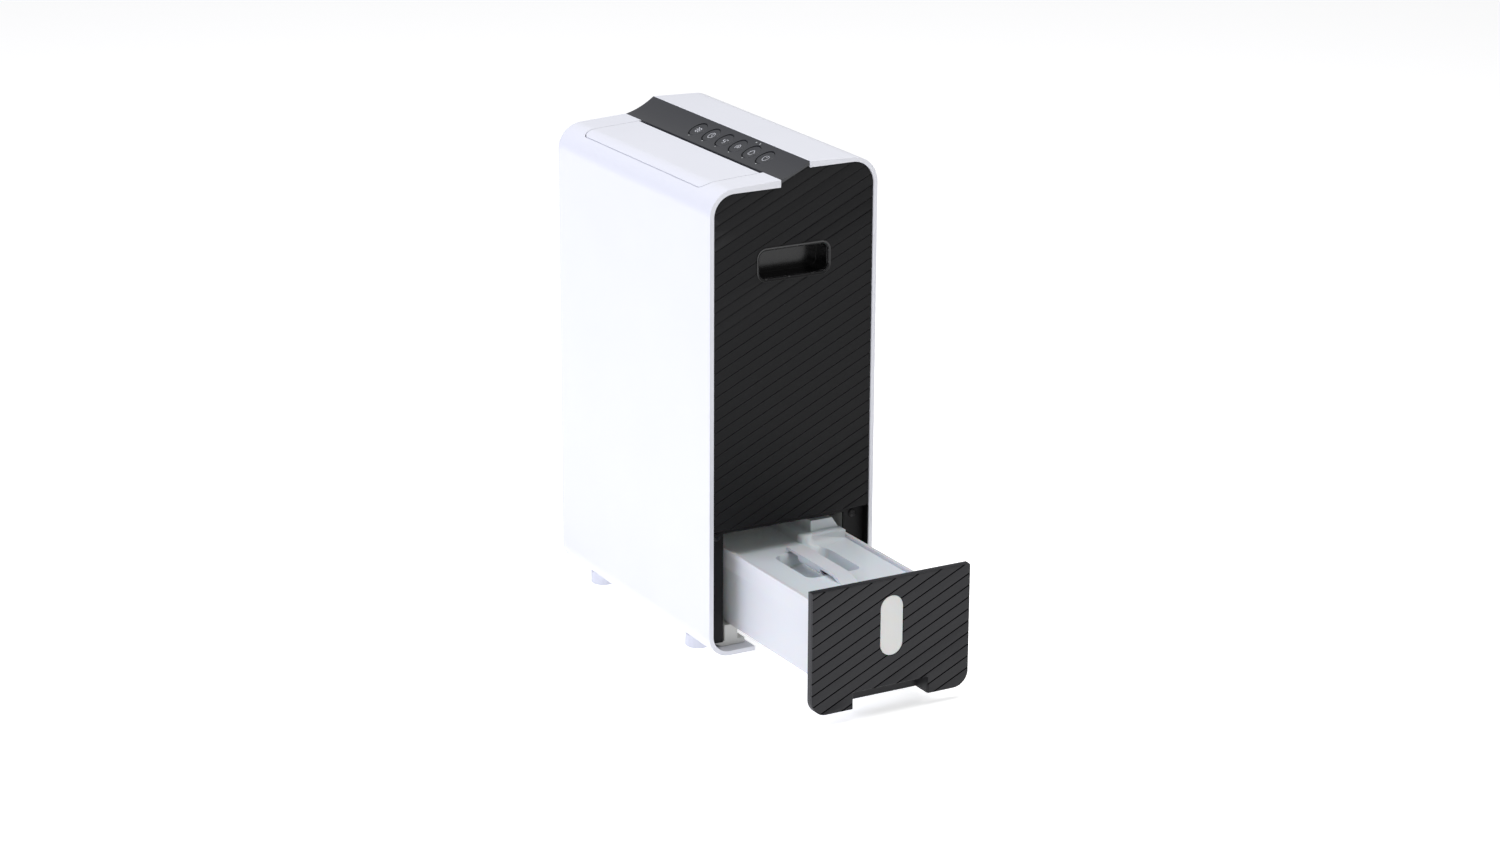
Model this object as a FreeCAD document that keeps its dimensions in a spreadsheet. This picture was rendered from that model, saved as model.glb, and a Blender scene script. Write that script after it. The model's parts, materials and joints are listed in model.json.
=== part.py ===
import FreeCAD, Part

import math
import os
import re

import Sketcher

# A portable dehumidifier with its water tank drawn out at one end.
# Directions: +X is the tank end, -Y the front, +Z up, and the floor is z = 0.
# x is measured from the middle of the cabinet, which stands tankOut/2 to the left of the origin.

DRIVING = {
    # cabinet
    "caseLong": 345.0, "caseDeep": 200.0, "rim": 5.0, "shellLow": 7.0, "flangeEnd": 44.5,
    "frontTopY": -16.5, "frontTopZ": 519.0, "frontTopRound": 28.5,
    "rearTopY": 17.9, "rearTopZ": 535.0, "rearTopRound": 30.0, "lowRound": 24.0,
    "frontInnerZ": 511.0, "rearInnerZ": 528.0, "frontSlope": 3.0, "rearSlope": 2.0,
    # side panels
    "sidePlane": 171.5, "sideThick": 3.0, "sideHalf": 94.7, "ribbedLow": 147.7, "frameX": 161.0,
    "openLeft": -77.0, "openRight": 70.0, "openTop": 140.2, "legLow": 18.3,
    "grooveRise": 13.0, "grooveWide": 1.5, "grooveDeep": 0.8, "grooveTilt": 25.2, "grooveFirst": 135.6,
    "cheekThick": 0.8,
    "handHalfWide": 41.0, "handHalfHigh": 15.0, "handZ": 430.3, "handRound": 8.0, "handDeep": 24.0,
    # control strip and buttons
    "stripHalf": 171.5, "stripThick": 4.3, "stripSag": 2.0, "stripGap": 0.2,
    "buttonFirst": -40.0, "buttonStep": 29.2, "buttonR": 10.4, "buttonHoleR": 11.5, "buttonHoleShift": 0.9,
    "buttonSlope": 1.4,
    # air outlet
    "flapHalf": 134.0, "flapGap": 0.6, "flapFrontY": -88.4, "flapRearY": -20.5, "flapThick": 3.0,
    "hingeY": -24.5, "hingeZ": 512.0, "pinR": 1.5, "pinGap": 0.06, "pinX": 127.0,
    "grilleLow": 497.0, "grilleHigh": 503.0,
    # rear intake
    "intakeHalf": 118.0, "intakeLow": 182.0, "intakeHigh": 468.0, "intakeGap": 0.8,
    # base
    "footR": 14.0, "footX": 111.0, "footY": 80.0, "railTop": 35.7, "railWide": 16.0, "railIn": 3.4,
    "baseTop": 18.2,
    "deckLow": 151.0, "deckThick": 4.0, "linerTop": 146.6, "linerThick": 1.6, "innerX": 168.3,
    "bayWallX": -140.0,
    # water tank
    "tankOut": 203.5, "tankFace": 172.5, "panelHalf": 93.6, "panelLow": 12.3, "panelTop": 145.9,
    "panelThick": 9.4, "panelSkin": 2.6, "panelRound": 17.2, "notchHalf": 45.0, "notchTop": 30.6,
    "notchDeep": 26.5, "windowHalf": 13.3, "windowHigh": 64.8, "windowZ": 95.6,
    "tankMid": -1.0, "tankLong": 290.0, "rimHalf": 69.6, "collarHalf": 68.0, "bucketHalf": 66.0,
    "bucketLow": 36.0, "collarLow": 98.0, "tankTop": 120.4, "lipLow": 115.1, "wall": 2.2,
    "lidTop": 116.9, "lidThick": 3.0, "ledgeZ": 113.8, "handleY": -5.0, "handleTop": 123.4,
    "pivotT": 205.0, "pivotZ": 52.0, "pivotR": 2.0,
    # air and cooling parts
    "fanX": 40.0, "fanZ": 320.0, "fanR": 72.0, "fanHubR": 22.0, "fanShaftR": 4.0,
    "coilLeft": -60.0, "coilRight": 138.0, "coilLow": 160.0, "coilHigh": 440.0,
}

doc = FreeCAD.newDocument("dehumidifier")
dims = doc.addObject("Spreadsheet::Sheet", "dims")
for row, (alias, number) in enumerate(DRIVING.items(), start=1):
    dims.set(f"A{row}", alias)
    dims.set(f"B{row}", str(number))
    dims.setAlias(f"B{row}", alias)
doc.recompute()

Vector = FreeCAD.Vector
WORD = re.compile(r"[A-Za-z_]\w*")
MIDDLE = "-tankOut/2"  # where the cabinet's middle stands along X
RISE = "(rearTopZ - frontTopZ)/(rearTopY - frontTopY)"  # the control strip's rise over its run
STRIP_TILT = f"atan({RISE})"
nodes = {}


def full(text):
    """Writes each alias in an expression with the sheet's name before it."""
    return WORD.sub(lambda m: "dims." + m.group(0) if m.group(0) in DRIVING else m.group(0), str(text))


def size(text):
    """The number that an expression of the sheet's cells gives now."""
    return float(getattr(dims.evalExpression(full(text)), "Value", dims.evalExpression(full(text))))


def bind(item, **expressions):
    for name, text in expressions.items():
        item.setExpression(name.replace("__", "."), full(text))
    return item


def node(label, item):
    item.Label = label
    nodes[label] = item
    return item


# ---- primitives and booleans, x given from the cabinet's middle ----

def place(item, x, y, z):
    return bind(item, Placement__Base__x=f"{MIDDLE} + {x}", Placement__Base__y=y, Placement__Base__z=z)


def box(name, x, y, z, long, deep, high):
    item = doc.addObject("Part::Box", name)
    bind(item, Length=long, Width=deep, Height=high)
    return place(item, x, y, z)


TURNS = {"x": FreeCAD.Rotation(Vector(0, 1, 0), 90), "y": FreeCAD.Rotation(Vector(1, 0, 0), -90),
         "z": FreeCAD.Rotation()}


def rod(name, axis, x, y, z, radius, length):
    """A cylinder that runs from its start point along +X, +Y or +Z."""
    item = doc.addObject("Part::Cylinder", name)
    item.Placement = FreeCAD.Placement(Vector(), TURNS[axis])
    bind(item, Radius=radius, Height=length)
    return place(item, x, y, z)


def fuse(name, *pieces):
    item = doc.addObject("Part::MultiFuse", name)
    item.Shapes = list(pieces)
    item.Refine = True
    return item


def cut(name, base, *tools):
    item = doc.addObject("Part::Cut", name)
    item.Base = base
    item.Tool = tools[0] if len(tools) == 1 else fuse(name + "_tools", *tools)
    item.Refine = True
    return item


def common(name, first, second):
    item = doc.addObject("Part::MultiCommon", name)
    item.Shapes = [first, second]
    return item


def group(name, *pieces):
    item = doc.addObject("Part::Compound", name)
    item.Links = list(pieces)
    return item


def straightEdges(shape, axis, spots):
    """Names of the edges along one axis that pass through the given places on the other two."""
    found = []
    others = [i for i in range(3) if i != axis]
    for index, edge in enumerate(shape.Edges, start=1):
        ends = [v.Point for v in edge.Vertexes]
        if len(ends) != 2:
            continue
        along = ends[1] - ends[0]
        if any(abs(along[i]) > 1e-4 for i in others):
            continue
        if any(all(abs(ends[0][i] - spot[k]) < 0.02 for k, i in enumerate(others)) for spot in spots):
            found.append(f"Edge{index}")
    return found


def rounded(name, base, axis, spots, radius):
    """A Part fillet on the straight edges that pass through the spots, in the finished frame."""
    doc.recompute()
    item = doc.addObject("Part::Fillet", name)
    item.Base = base
    reach = size(radius)
    item.Edges = [(int(e[4:]), reach, reach) for e in straightEdges(base.Shape, axis, spots)]
    return item


# ---- bodies with sketches ----

def newBody(name):
    item = doc.addObject("PartDesign::Body", name)
    return bind(item, Placement__Base__x=MIDDLE)


def sketchOn(body, name, role, offset="0"):
    sketch = body.newObject("Sketcher::SketchObject", name)
    origin = next(f for f in body.Origin.OriginFeatures if f.Role == role)
    sketch.AttachmentSupport = [(origin, "")]
    sketch.MapMode = "FlatFace"
    return bind(sketch, AttachmentOffset__Base__z=offset)


def pin(sketch, kind, geometry, point, text):
    """Ties a point of the sketch to the origin along one direction, at a value from the sheet."""
    index = sketch.addConstraint(Sketcher.Constraint(kind, -1, 1, geometry, point, size(text)))
    sketch.setExpression(f"Constraints[{index}]", full(text))


def outline(sketch, corners):
    """A closed run of straight lines through corners given as pairs of expressions."""
    first = sketch.GeometryCount
    points = [Vector(size(u), size(v), 0) for u, v in corners]
    count = len(points)
    for i in range(count):
        sketch.addGeometry(Part.LineSegment(points[i], points[(i + 1) % count]))
    for i in range(count):
        sketch.addConstraint(Sketcher.Constraint("Coincident", first + i, 2, first + (i + 1) % count, 1))
    for i, (u, v) in enumerate(corners):
        pin(sketch, "DistanceX", first + i, 1, u)
        pin(sketch, "DistanceY", first + i, 1, v)
    return sketch


def oblong(sketch, left, right, low, high):
    return outline(sketch, [(left, low), (right, low), (right, high), (left, high)])


def ring(sketch, u, v, radius):
    index = sketch.GeometryCount
    sketch.addGeometry(Part.Circle(Vector(size(u), size(v), 0), Vector(0, 0, 1), size(radius)))
    pin(sketch, "DistanceX", index, 3, u)
    pin(sketch, "DistanceY", index, 3, v)
    place_at = sketch.addConstraint(Sketcher.Constraint("Radius", index, size(radius)))
    sketch.setExpression(f"Constraints[{place_at}]", full(radius))
    return sketch


def pad(body, name, sketch, length):
    item = body.newObject("PartDesign::Pad", name)
    item.Profile = sketch
    bind(item, Length=length)
    doc.recompute()
    return item


def pocket(body, name, sketch, length, backwards=False):
    before = body.Shape.Volume
    item = body.newObject("PartDesign::Pocket", name)
    item.Profile = sketch
    item.Reversed = backwards
    bind(item, Length=length)
    doc.recompute()
    if item.Shape.Volume > before - 1e-3:
        raise RuntimeError(name + " cuts nothing")
    return item


def fillet(body, name, base, axis, spots, radius):
    places = [tuple(size(value) for value in spot) for spot in spots]
    item = body.newObject("PartDesign::Fillet", name)
    item.Base = (base, straightEdges(base.Shape, axis, places))
    bind(item, Radius=radius)
    doc.recompute()
    return item


def repeat(body, name, feature, role, step, count):
    """A row of copies of a feature along one of the body's own axes."""
    item = body.newObject("PartDesign::LinearPattern", name)
    item.Originals = [feature]
    axis = next(f for f in body.Origin.OriginFeatures if f.Role == role)
    item.Direction = (axis, [""])
    item.Occurrences = count
    bind(item, Length=f"{step}*{count - 1}")
    body.Tip = item
    doc.recompute()
    return item


# ---- the two outer shells ----

FRONT_FALL = "tan(frontSlope)*(frontTopY + caseDeep/2)"
REAR_FALL = "tan(rearSlope)*(caseDeep/2 - rearTopY)"


def frontShell(name, wall, underFront, underEnd):
    """A C section of the given wall, open towards the back, with its ceiling at two heights."""
    body = newBody(name)
    sketch = sketchOn(body, name + "_section", "YZ_Plane", "-caseLong/2")
    inner = f"(caseDeep/2 - {wall})"
    floor = f"shellLow + {wall}"
    outline(sketch, [
        ("-flangeEnd", "shellLow"), ("-caseDeep/2", "shellLow"),
        ("-caseDeep/2", f"frontTopZ - {FRONT_FALL}"), ("frontTopY", "frontTopZ"),
        ("frontTopY", underEnd), (f"-{inner}", underFront), (f"-{inner}", floor), ("-flangeEnd", floor)])
    solid = pad(body, name + "_run", sketch, "caseLong")
    top = fillet(body, name + "_top", solid, 0,
                 [("-caseDeep/2", f"frontTopZ - {FRONT_FALL}")], "frontTopRound")
    low = fillet(body, name + "_low", top, 0, [("-caseDeep/2", "shellLow")], "lowRound")
    bend = fillet(body, name + "_bend", low, 0, [(f"-{inner}", underFront)], f"frontTopRound - {wall}")
    fillet(body, name + "_inner", bend, 0, [(f"-{inner}", floor)], f"lowRound - {wall}")
    return body


def louvreCutter(name, gap):
    """A block over the flap, with its two front corners rounded in plan."""
    half = f"(flapHalf + {gap})"
    block = box(name + "_block", f"-{half}", f"flapFrontY - {gap}", 480, f"2*{half}",
                "caseDeep/2", 60)
    left, right = (size(f"{MIDDLE} {sign} {half}") for sign in "-+")
    front = size(f"flapFrontY - {gap}")
    return rounded(name, block, 2, [(left, front), (right, front)], 9)


front = frontShell("front_shell_profile", "rim", "frontInnerZ", "frontInnerZ")
node("front_shell", cut("front_shell_cut", front, louvreCutter("louvre_hole", "flapGap")))

rear = newBody("rear_shell_profile")
rearSection = sketchOn(rear, "rear_section", "YZ_Plane", "-caseLong/2")
REAR_EDGE = f"rearTopZ - {REAR_FALL}"
outline(rearSection, [
    ("flangeEnd", "shellLow"), ("caseDeep/2", "shellLow"), ("caseDeep/2", REAR_EDGE),
    ("rearTopY", "rearTopZ"), ("rearTopY", "rearInnerZ"), ("caseDeep/2 - rim", "rearInnerZ"),
    ("caseDeep/2 - rim", "shellLow + rim"), ("flangeEnd", "shellLow + rim")])
rearRun = pad(rear, "rear_run", rearSection, "caseLong")
rearTop = fillet(rear, "rear_top", rearRun, 0, [("caseDeep/2", REAR_EDGE)], "rearTopRound")
rearLow = fillet(rear, "rear_low", rearTop, 0, [("caseDeep/2", "shellLow")], "lowRound")
rearBend = fillet(rear, "rear_bend", rearLow, 0, [("caseDeep/2 - rim", "rearInnerZ")], "rearTopRound - rim")
fillet(rear, "rear_inner", rearBend, 0, [("caseDeep/2 - rim", "shellLow + rim")],
       "lowRound - rim")
DRAIN = {"x": "100", "z": "128", "r": "9"}
CORD = {"x": "-116", "z": "62", "r": "8"}
intake = sketchOn(rear, "intake_outline", "XZ_Plane", "-caseDeep/2 - 1")
oblong(intake, "-intakeHalf", "intakeHalf", "intakeLow", "intakeHigh")
ring(intake, DRAIN["x"], DRAIN["z"], DRAIN["r"])
ring(intake, CORD["x"], CORD["z"], CORD["r"])
pocket(rear, "intake_hole", intake, "rim + 3", backwards=True)
node("rear_shell", rear)


# ---- side panels with slanting grooves ----

UPPER_OUTLINE = [
    ("sideHalf", "rearInnerZ - 0.3"), ("rearTopY - 0.3", "rearInnerZ - 0.3"),
    ("rearTopY - 0.3", f"rearTopZ - stripThick - 0.3 - 0.3*{RISE}"),
    ("frontTopY + 0.3", f"frontTopZ - stripThick - 0.3 + 0.3*{RISE}"),
    ("frontTopY + 0.3", "frontInnerZ - 0.3"), ("-sideHalf", "frontInnerZ - 0.3")]
TOP_ROUND = "frontTopRound - rim + 0.3"


def grooves(body, name, face, low, first, count, tilt=1):
    """Parallel slanting grooves cut into an upright face that looks along +X or -X."""
    sketch = sketchOn(body, name + "_line", "YZ_Plane", face)
    wide = "(caseDeep/2)"
    rise = f"{tilt}*tan(grooveTilt)*{wide}"
    base = f"({first})"
    outline(sketch, [(f"-{wide}", base), (wide, f"{base} + 2*{rise}" if tilt > 0 else base),
                     (wide, f"{base} + 2*{rise} + grooveWide" if tilt > 0 else f"{base} + grooveWide"),
                     (f"-{wide}", f"{base} + grooveWide")])
    one = pocket(body, name + "_groove", sketch, "grooveDeep", backwards=low)
    return repeat(body, name + "_grooves", one, "Z_Axis", "grooveRise", count)


right = newBody("right_side_panel")
face = outline(sketchOn(right, "right_face", "YZ_Plane", "sidePlane - sideThick"),
               [("-sideHalf", "ribbedLow"), ("sideHalf", "ribbedLow")] + UPPER_OUTLINE)
rightPlate = pad(right, "right_plate", face, "sideThick")
rightTop = fillet(right, "right_top", rightPlate, 0, [("sideHalf", "rearInnerZ - 0.3")],
                  "rearTopRound - rim + 0.3")
fillet(right, "right_front", rightTop, 0, [("-sideHalf", "frontInnerZ - 0.3")], TOP_ROUND)
shelf = oblong(sketchOn(right, "right_shelf", "YZ_Plane", "frameX"),
               "-sideHalf", "sideHalf", "ribbedLow", "ribbedLow + 3")
pad(right, "right_step", shelf, "sidePlane - sideThick - frameX")
LEG_ROUND = "lowRound - rim + 0.3"
frame = outline(sketchOn(right, "right_frame", "YZ_Plane", "frameX - sideThick"), [
    ("-sideHalf", "legLow + 10.5"), ("-sideHalf + 5", "legLow"), ("openLeft", "legLow"),
    ("openLeft", "openTop"), ("openRight", "openTop"), ("openRight", "legLow"),
    ("sideHalf - 5", "legLow"), ("sideHalf", "legLow + 10.5"), ("sideHalf", "ribbedLow + 3"),
    ("-sideHalf", "ribbedLow + 3")])
pad(right, "right_lower", frame, "sideThick")
for name, near in (("right_cheek_front", "-sideHalf"), ("right_cheek_rear", "sideHalf - cheekThick")):
    cheek = oblong(sketchOn(right, name, "YZ_Plane", "frameX"), near, f"{near} + cheekThick",
                   "shellLow + lowRound", "ribbedLow + 3")
    pad(right, name + "_pad", cheek, "sidePlane - frameX")
grip = oblong(sketchOn(right, "right_grip", "YZ_Plane", "sidePlane"),
              "-handHalfWide", "handHalfWide", "handZ - handHalfHigh", "handZ + handHalfHigh")
hole = pocket(right, "right_hole", grip, "sideThick")
HAND_CORNERS = [(a, b) for a in ("-handHalfWide", "handHalfWide")
                for b in ("handZ - handHalfHigh", "handZ + handHalfHigh")]
fillet(right, "right_hole_round", hole, 0, HAND_CORNERS, "handRound")
FIRST_UPPER = "(grooveFirst - 5*grooveRise)"
grooves(right, "right", "sidePlane", False, FIRST_UPPER, 35)
node("right_side_panel", right)

left = newBody("left_side_panel")
leftFace = outline(sketchOn(left, "left_face", "YZ_Plane", "-sidePlane"),
                   [("-sideHalf", "shellLow + rim + 0.3"), ("sideHalf", "shellLow + rim + 0.3")]
                   + UPPER_OUTLINE)
leftPlate = pad(left, "left_plate", leftFace, "sideThick")
leftTop = fillet(left, "left_top", leftPlate, 0, [("sideHalf", "rearInnerZ - 0.3")],
                 "rearTopRound - rim + 0.3")
leftFront = fillet(left, "left_front", leftTop, 0, [("-sideHalf", "frontInnerZ - 0.3")], TOP_ROUND)
fillet(left, "left_low", leftFront, 0,
       [(side, "shellLow + rim + 0.3") for side in ("-sideHalf", "sideHalf")], LEG_ROUND)
leftGrip = oblong(sketchOn(left, "left_grip", "YZ_Plane", "-sidePlane"),
                  "-handHalfWide", "handHalfWide", "handZ - handHalfHigh", "handZ + handHalfHigh")
leftHole = pocket(left, "left_hole", leftGrip, "sideThick", backwards=True)
fillet(left, "left_hole_round", leftHole, 0, HAND_CORNERS, "handRound")
grooves(left, "left", "-sidePlane", True, "(grooveFirst - 16*grooveRise)", 46)
node("left_side_panel", left)


def handleCup(name, start, mouth, backwards):
    """A pocket moulding behind a side panel, that the fingers go into through its mouth."""
    body = newBody(name)
    walls = ("-handHalfWide - 2.5", "handHalfWide + 2.5")
    levels = ("handZ - handHalfHigh - 2.5", "handZ + handHalfHigh + 2.5")
    block = pad(body, name + "_block",
                oblong(sketchOn(body, name + "_outer", "YZ_Plane", start), *walls, *levels), "handDeep")
    sketch = oblong(sketchOn(body, name + "_inner", "YZ_Plane", mouth),
                    "-handHalfWide", "handHalfWide", "handZ - handHalfHigh", "handZ + handHalfHigh")
    hollow = pocket(body, name + "_hollow", sketch, "handDeep - 2.5", backwards)
    inner = fillet(body, name + "_hollow_round", hollow, 0, HAND_CORNERS, "handRound")
    outer = [(a, b) for a in walls for b in levels]
    fillet(body, name + "_round", inner, 0, outer, "handRound + 2.5")
    return node(name, body)


handleCup("handle_cup_right", "sidePlane - sideThick - handDeep", "sidePlane - sideThick", False)
handleCup("handle_cup_left", "-sidePlane + sideThick", "-sidePlane + sideThick", True)


# ---- control strip: a concave ramp with round buttons ----

SLOPE = math.radians(size(STRIP_TILT))
ALONG = Vector(0, math.cos(SLOPE), math.sin(SLOPE))
NORMAL = Vector(0, -math.sin(SLOPE), math.cos(SLOPE))
RAMP_MIDDLE = Vector(size(MIDDLE), size("(frontTopY + rearTopY)/2"), size("(frontTopZ + rearTopZ)/2"))
RAMP_TURN = FreeCAD.Rotation(Vector(1, 0, 0), math.degrees(SLOPE))
HALF_RUN = (size("rearTopY - frontTopY") / 2) / math.cos(SLOPE)
SAG = size("stripSag")
STRIP_R = (HALF_RUN ** 2 + SAG ** 2) / (2 * SAG)


def onRamp(x, along, above):
    """A point on the strip: x from the cabinet's middle, then along and above the ramp."""
    return RAMP_MIDDLE + Vector(x, 0, 0) + ALONG * along + NORMAL * above


def rampRod(name, x, along, low, high, radius):
    """A cylinder square to the ramp, between two heights over it."""
    item = doc.addObject("Part::Cylinder", name)
    item.Placement = FreeCAD.Placement(onRamp(x, along, low), RAMP_TURN)
    bind(item, Radius=radius)
    item.Height = high - low
    return item


strip = newBody("strip_prism")
stripSection = outline(sketchOn(strip, "strip_section", "YZ_Plane", "-stripHalf"), [
    ("frontTopY + stripGap", f"frontTopZ + stripGap*{RISE}"),
    ("frontTopY + stripGap", f"frontTopZ + stripGap*{RISE} - stripThick"),
    ("rearTopY - stripGap", f"rearTopZ - stripGap*{RISE} - stripThick"),
    ("rearTopY - stripGap", f"rearTopZ - stripGap*{RISE}")])
pad(strip, "strip_run", stripSection, "2*stripHalf")
hollow = doc.addObject("Part::Cylinder", "strip_hollow")
hollow.Placement = FreeCAD.Placement(
    onRamp(-size("caseLong"), 0, STRIP_R - SAG), TURNS["x"])
hollow.Radius = STRIP_R
bind(hollow, Height="2*caseLong")

buttonSpots = [size(f"buttonFirst + {i}*buttonStep") for i in range(6)]
RAMP_U = size("buttonSlope")
LAMP_U = RAMP_U - 12.6
wells = [rampRod(f"button_well_{i}", x - size("buttonHoleShift"), RAMP_U, -8.0, 3.0, "buttonHoleR")
         for i, x in enumerate(buttonSpots, start=1)]
LAMP_R = 0.8
LAMP_FOOT = -5.0  # just over the button flanges, which pass under the lamps
lampHoles = [rampRod(f"lamp_hole_{i}", x, LAMP_U, -8.0, 3.0, LAMP_R + 0.05)
             for i, x in enumerate(buttonSpots, start=1)]
DISPLAY = [(66.0, 15.0), (74.0, 15.0)]
lampHoles += [rampRod(f"display_hole_{i}", x, u, -8.0, 3.0, LAMP_R + 0.35)
              for i, (x, u) in enumerate(DISPLAY)]
node("control_panel", cut("control_panel_cut", strip, hollow, *wells, *lampHoles))


def sagAt(along):
    """How far the concave ramp lies under its chord."""
    return STRIP_R - SAG - math.sqrt(STRIP_R ** 2 - along ** 2)


lamps = [rampRod(f"lamp_{i}", x, LAMP_U, LAMP_FOOT, sagAt(LAMP_U) + 0.05, LAMP_R)
         for i, x in enumerate(buttonSpots, start=1)]
lamps += [rampRod(f"display_lamp_{i}", x, u, LAMP_FOOT, sagAt(u) + 0.05, LAMP_R + 0.3)
          for i, (x, u) in enumerate(DISPLAY)]
node("indicator_lamps", group("indicator_lamps_set", *lamps))

CAP_TOP = sagAt(RAMP_U) + 0.15
for i, x in enumerate(buttonSpots, start=1):
    cap = rampRod(f"cap_{i}", x, RAMP_U, -4.0, CAP_TOP, "buttonR")
    flange = rampRod(f"cap_flange_{i}", x, RAMP_U, -6.6, -5.2, "buttonHoleR + 1.4")
    neck = rampRod(f"cap_neck_{i}", x, RAMP_U, -5.3, -3.9, "buttonR - 0.6")
    stem = rampRod(f"cap_stem_{i}", x, RAMP_U, -8.6, -6.5, "buttonR*0.28")
    dish = doc.addObject("Part::Sphere", f"cap_dish_{i}")
    dish.Radius = 70.0
    dish.Placement = FreeCAD.Placement(onRamp(x, RAMP_U, CAP_TOP + 69.35), RAMP_TURN)
    node(f"button_{i}", cut(f"button_cut_{i}", fuse(f"button_solid_{i}", cap, flange, neck, stem), dish))

board = doc.addObject("Part::Box", "control_board_plate")
board.Placement = FreeCAD.Placement(onRamp(-56, -13, -11.8), RAMP_TURN)
board.Length = 180.0
board.Width = 26.0
board.Height = 1.6
chips = []
for i, x in enumerate(buttonSpots, start=1):
    tact = doc.addObject("Part::Box", f"tact_{i}")
    tact.Placement = FreeCAD.Placement(onRamp(x - 14, RAMP_U - 3, -10.21), RAMP_TURN)
    tact.Length = 6.0
    tact.Width = 6.0
    tact.Height = 1.4
    chips.append(tact)
node("control_board", fuse("control_board_set", board, *chips))


# ---- air outlet: a flap flush with the front shell, over a grille ----

skin = frontShell("flap_skin", "flapThick", f"frontTopZ - {FRONT_FALL} - 0.9*flapThick",
                  "frontTopZ - flapThick")
flapSheet = common("flap_sheet", skin, louvreCutter("flap_plan", 0))
flapTrim = box("flap_trim", "-caseLong/2", "flapRearY", 480, "caseLong", "caseDeep", 60)
flapUnder = box("flap_under", "-caseLong/2", "-caseDeep", 470, "caseLong", "2*caseDeep", 22)
flapBare = cut("flap_bare", flapSheet, flapTrim, flapUnder)
arms = []
for side in (-1, 1):
    near = "pinX - 3.5" if side > 0 else "-pinX"
    arms.append(box(f"flap_arm_{2 + side}", near, "hingeY - 2.5", "hingeZ - 2.5", 3.5, 5, 6.6))
    start = "pinX - 0.1" if side > 0 else "-pinX - 4.4"
    arms.append(rod(f"flap_pin_{2 + side}", "x", start, "hingeY", "hingeZ", "pinR", 4.5))
node("louvre_flap", fuse("louvre_flap_set", flapBare, *arms))

GRILLE_HALF = "(flapHalf - 0.4)"
grilleOuter = box("grille_outer", f"-{GRILLE_HALF}", "flapFrontY + 6", "grilleLow", f"2*{GRILLE_HALF}",
                  "flapRearY - flapFrontY - 4", "grilleHigh - grilleLow")
grilleInner = box("grille_inner", f"-{GRILLE_HALF} + 3", "flapFrontY + 9", "grilleLow - 1",
                  f"2*{GRILLE_HALF} - 6", "flapRearY - flapFrontY - 10", "grilleHigh - grilleLow + 2")
grilleRing = cut("grille_ring", grilleOuter, grilleInner)
slats = []
SLATS = 18
for i in range(1, SLATS):
    at = f"-{GRILLE_HALF} + {i}*2*{GRILLE_HALF}/{SLATS} - 0.7"
    slats.append(box(f"grille_slat_{i}", at, "flapFrontY + 8", "grilleLow", 1.4,
                     "flapRearY - flapFrontY - 8", "grilleHigh - grilleLow"))
slats.append(box("grille_bar", f"-{GRILLE_HALF} + 2", "-54", "grilleLow", f"2*{GRILLE_HALF} - 4", 1.6, 4))
posts = []
for side in (-1, 1):
    near = "pinX + 0.6" if side > 0 else "-pinX - 4.6"
    posts.append(box(f"post_{2 + side}", near, "hingeY - 2.6", "grilleLow", 4, 5.2, "hingeZ - grilleLow"))
    posts.append(rod(f"post_eye_{2 + side}", "x", near, "hingeY", "hingeZ", 3.0, 4))
eyes = [rod("post_bore", "x", "-pinX - 5", "hingeY", "hingeZ", "pinR + pinGap", "2*pinX + 10")]
node("outlet_grille", cut("outlet_grille_set", fuse("grille_solid", grilleRing, *slats, *posts), *eyes))

# ---- air duct and fan ----

duct = newBody("air_duct")
DUCT_LOW = "fanZ + fanR + 22"
DUCT_TOP = "grilleLow - 0.4"


def ductSection(body, name, level, left, right, low, high, inset):
    sketch = sketchOn(body, name, "XY_Plane", level)
    return oblong(sketch, f"{left} + {inset}", f"{right} - {inset}", f"{low} + {inset}",
                  f"{high} - {inset}")


DUCT_ENDS = [(DUCT_LOW, "fanX - 78", "fanX + 78", "-86", "-28"),
             (DUCT_TOP, "-131", "131", "-84", "-22")]
outer = [ductSection(duct, f"duct_outer_{i}", *end, "0") for i, end in enumerate(DUCT_ENDS)]
inner = [ductSection(duct, f"duct_inner_{i}", *end, "2") for i, end in enumerate(DUCT_ENDS)]
ductLoft = duct.newObject("PartDesign::AdditiveLoft", "duct_loft")
ductLoft.Profile = outer[0]
ductLoft.Sections = [outer[1]]
doc.recompute()
ductHollow = duct.newObject("PartDesign::SubtractiveLoft", "duct_hollow")
ductHollow.Profile = inner[0]
ductHollow.Sections = [inner[1]]
doc.recompute()
node("air_duct", duct)

voluteOuter = rod("volute_outer", "y", "fanX", -86, "fanZ", "fanR + 14", 58)
throatOuter = box("throat_outer", "fanX - 78", -86, "fanZ", 156, 58, "fanR + 21.6")
voluteInner = rod("volute_inner", "y", "fanX", -84, "fanZ", "fanR + 12", 54)
throatInner = box("throat_inner", "fanX - 76", -84, "fanZ", 152, 54, "fanR + 30")
eyeHole = rod("volute_eye", "y", "fanX", -31, "fanZ", "fanR - 14", 6)
node("fan_housing", cut("fan_housing_cut", fuse("fan_housing_solid", voluteOuter, throatOuter),
                        fuse("volute_hollow", voluteInner, throatInner, eyeHole)))

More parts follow.
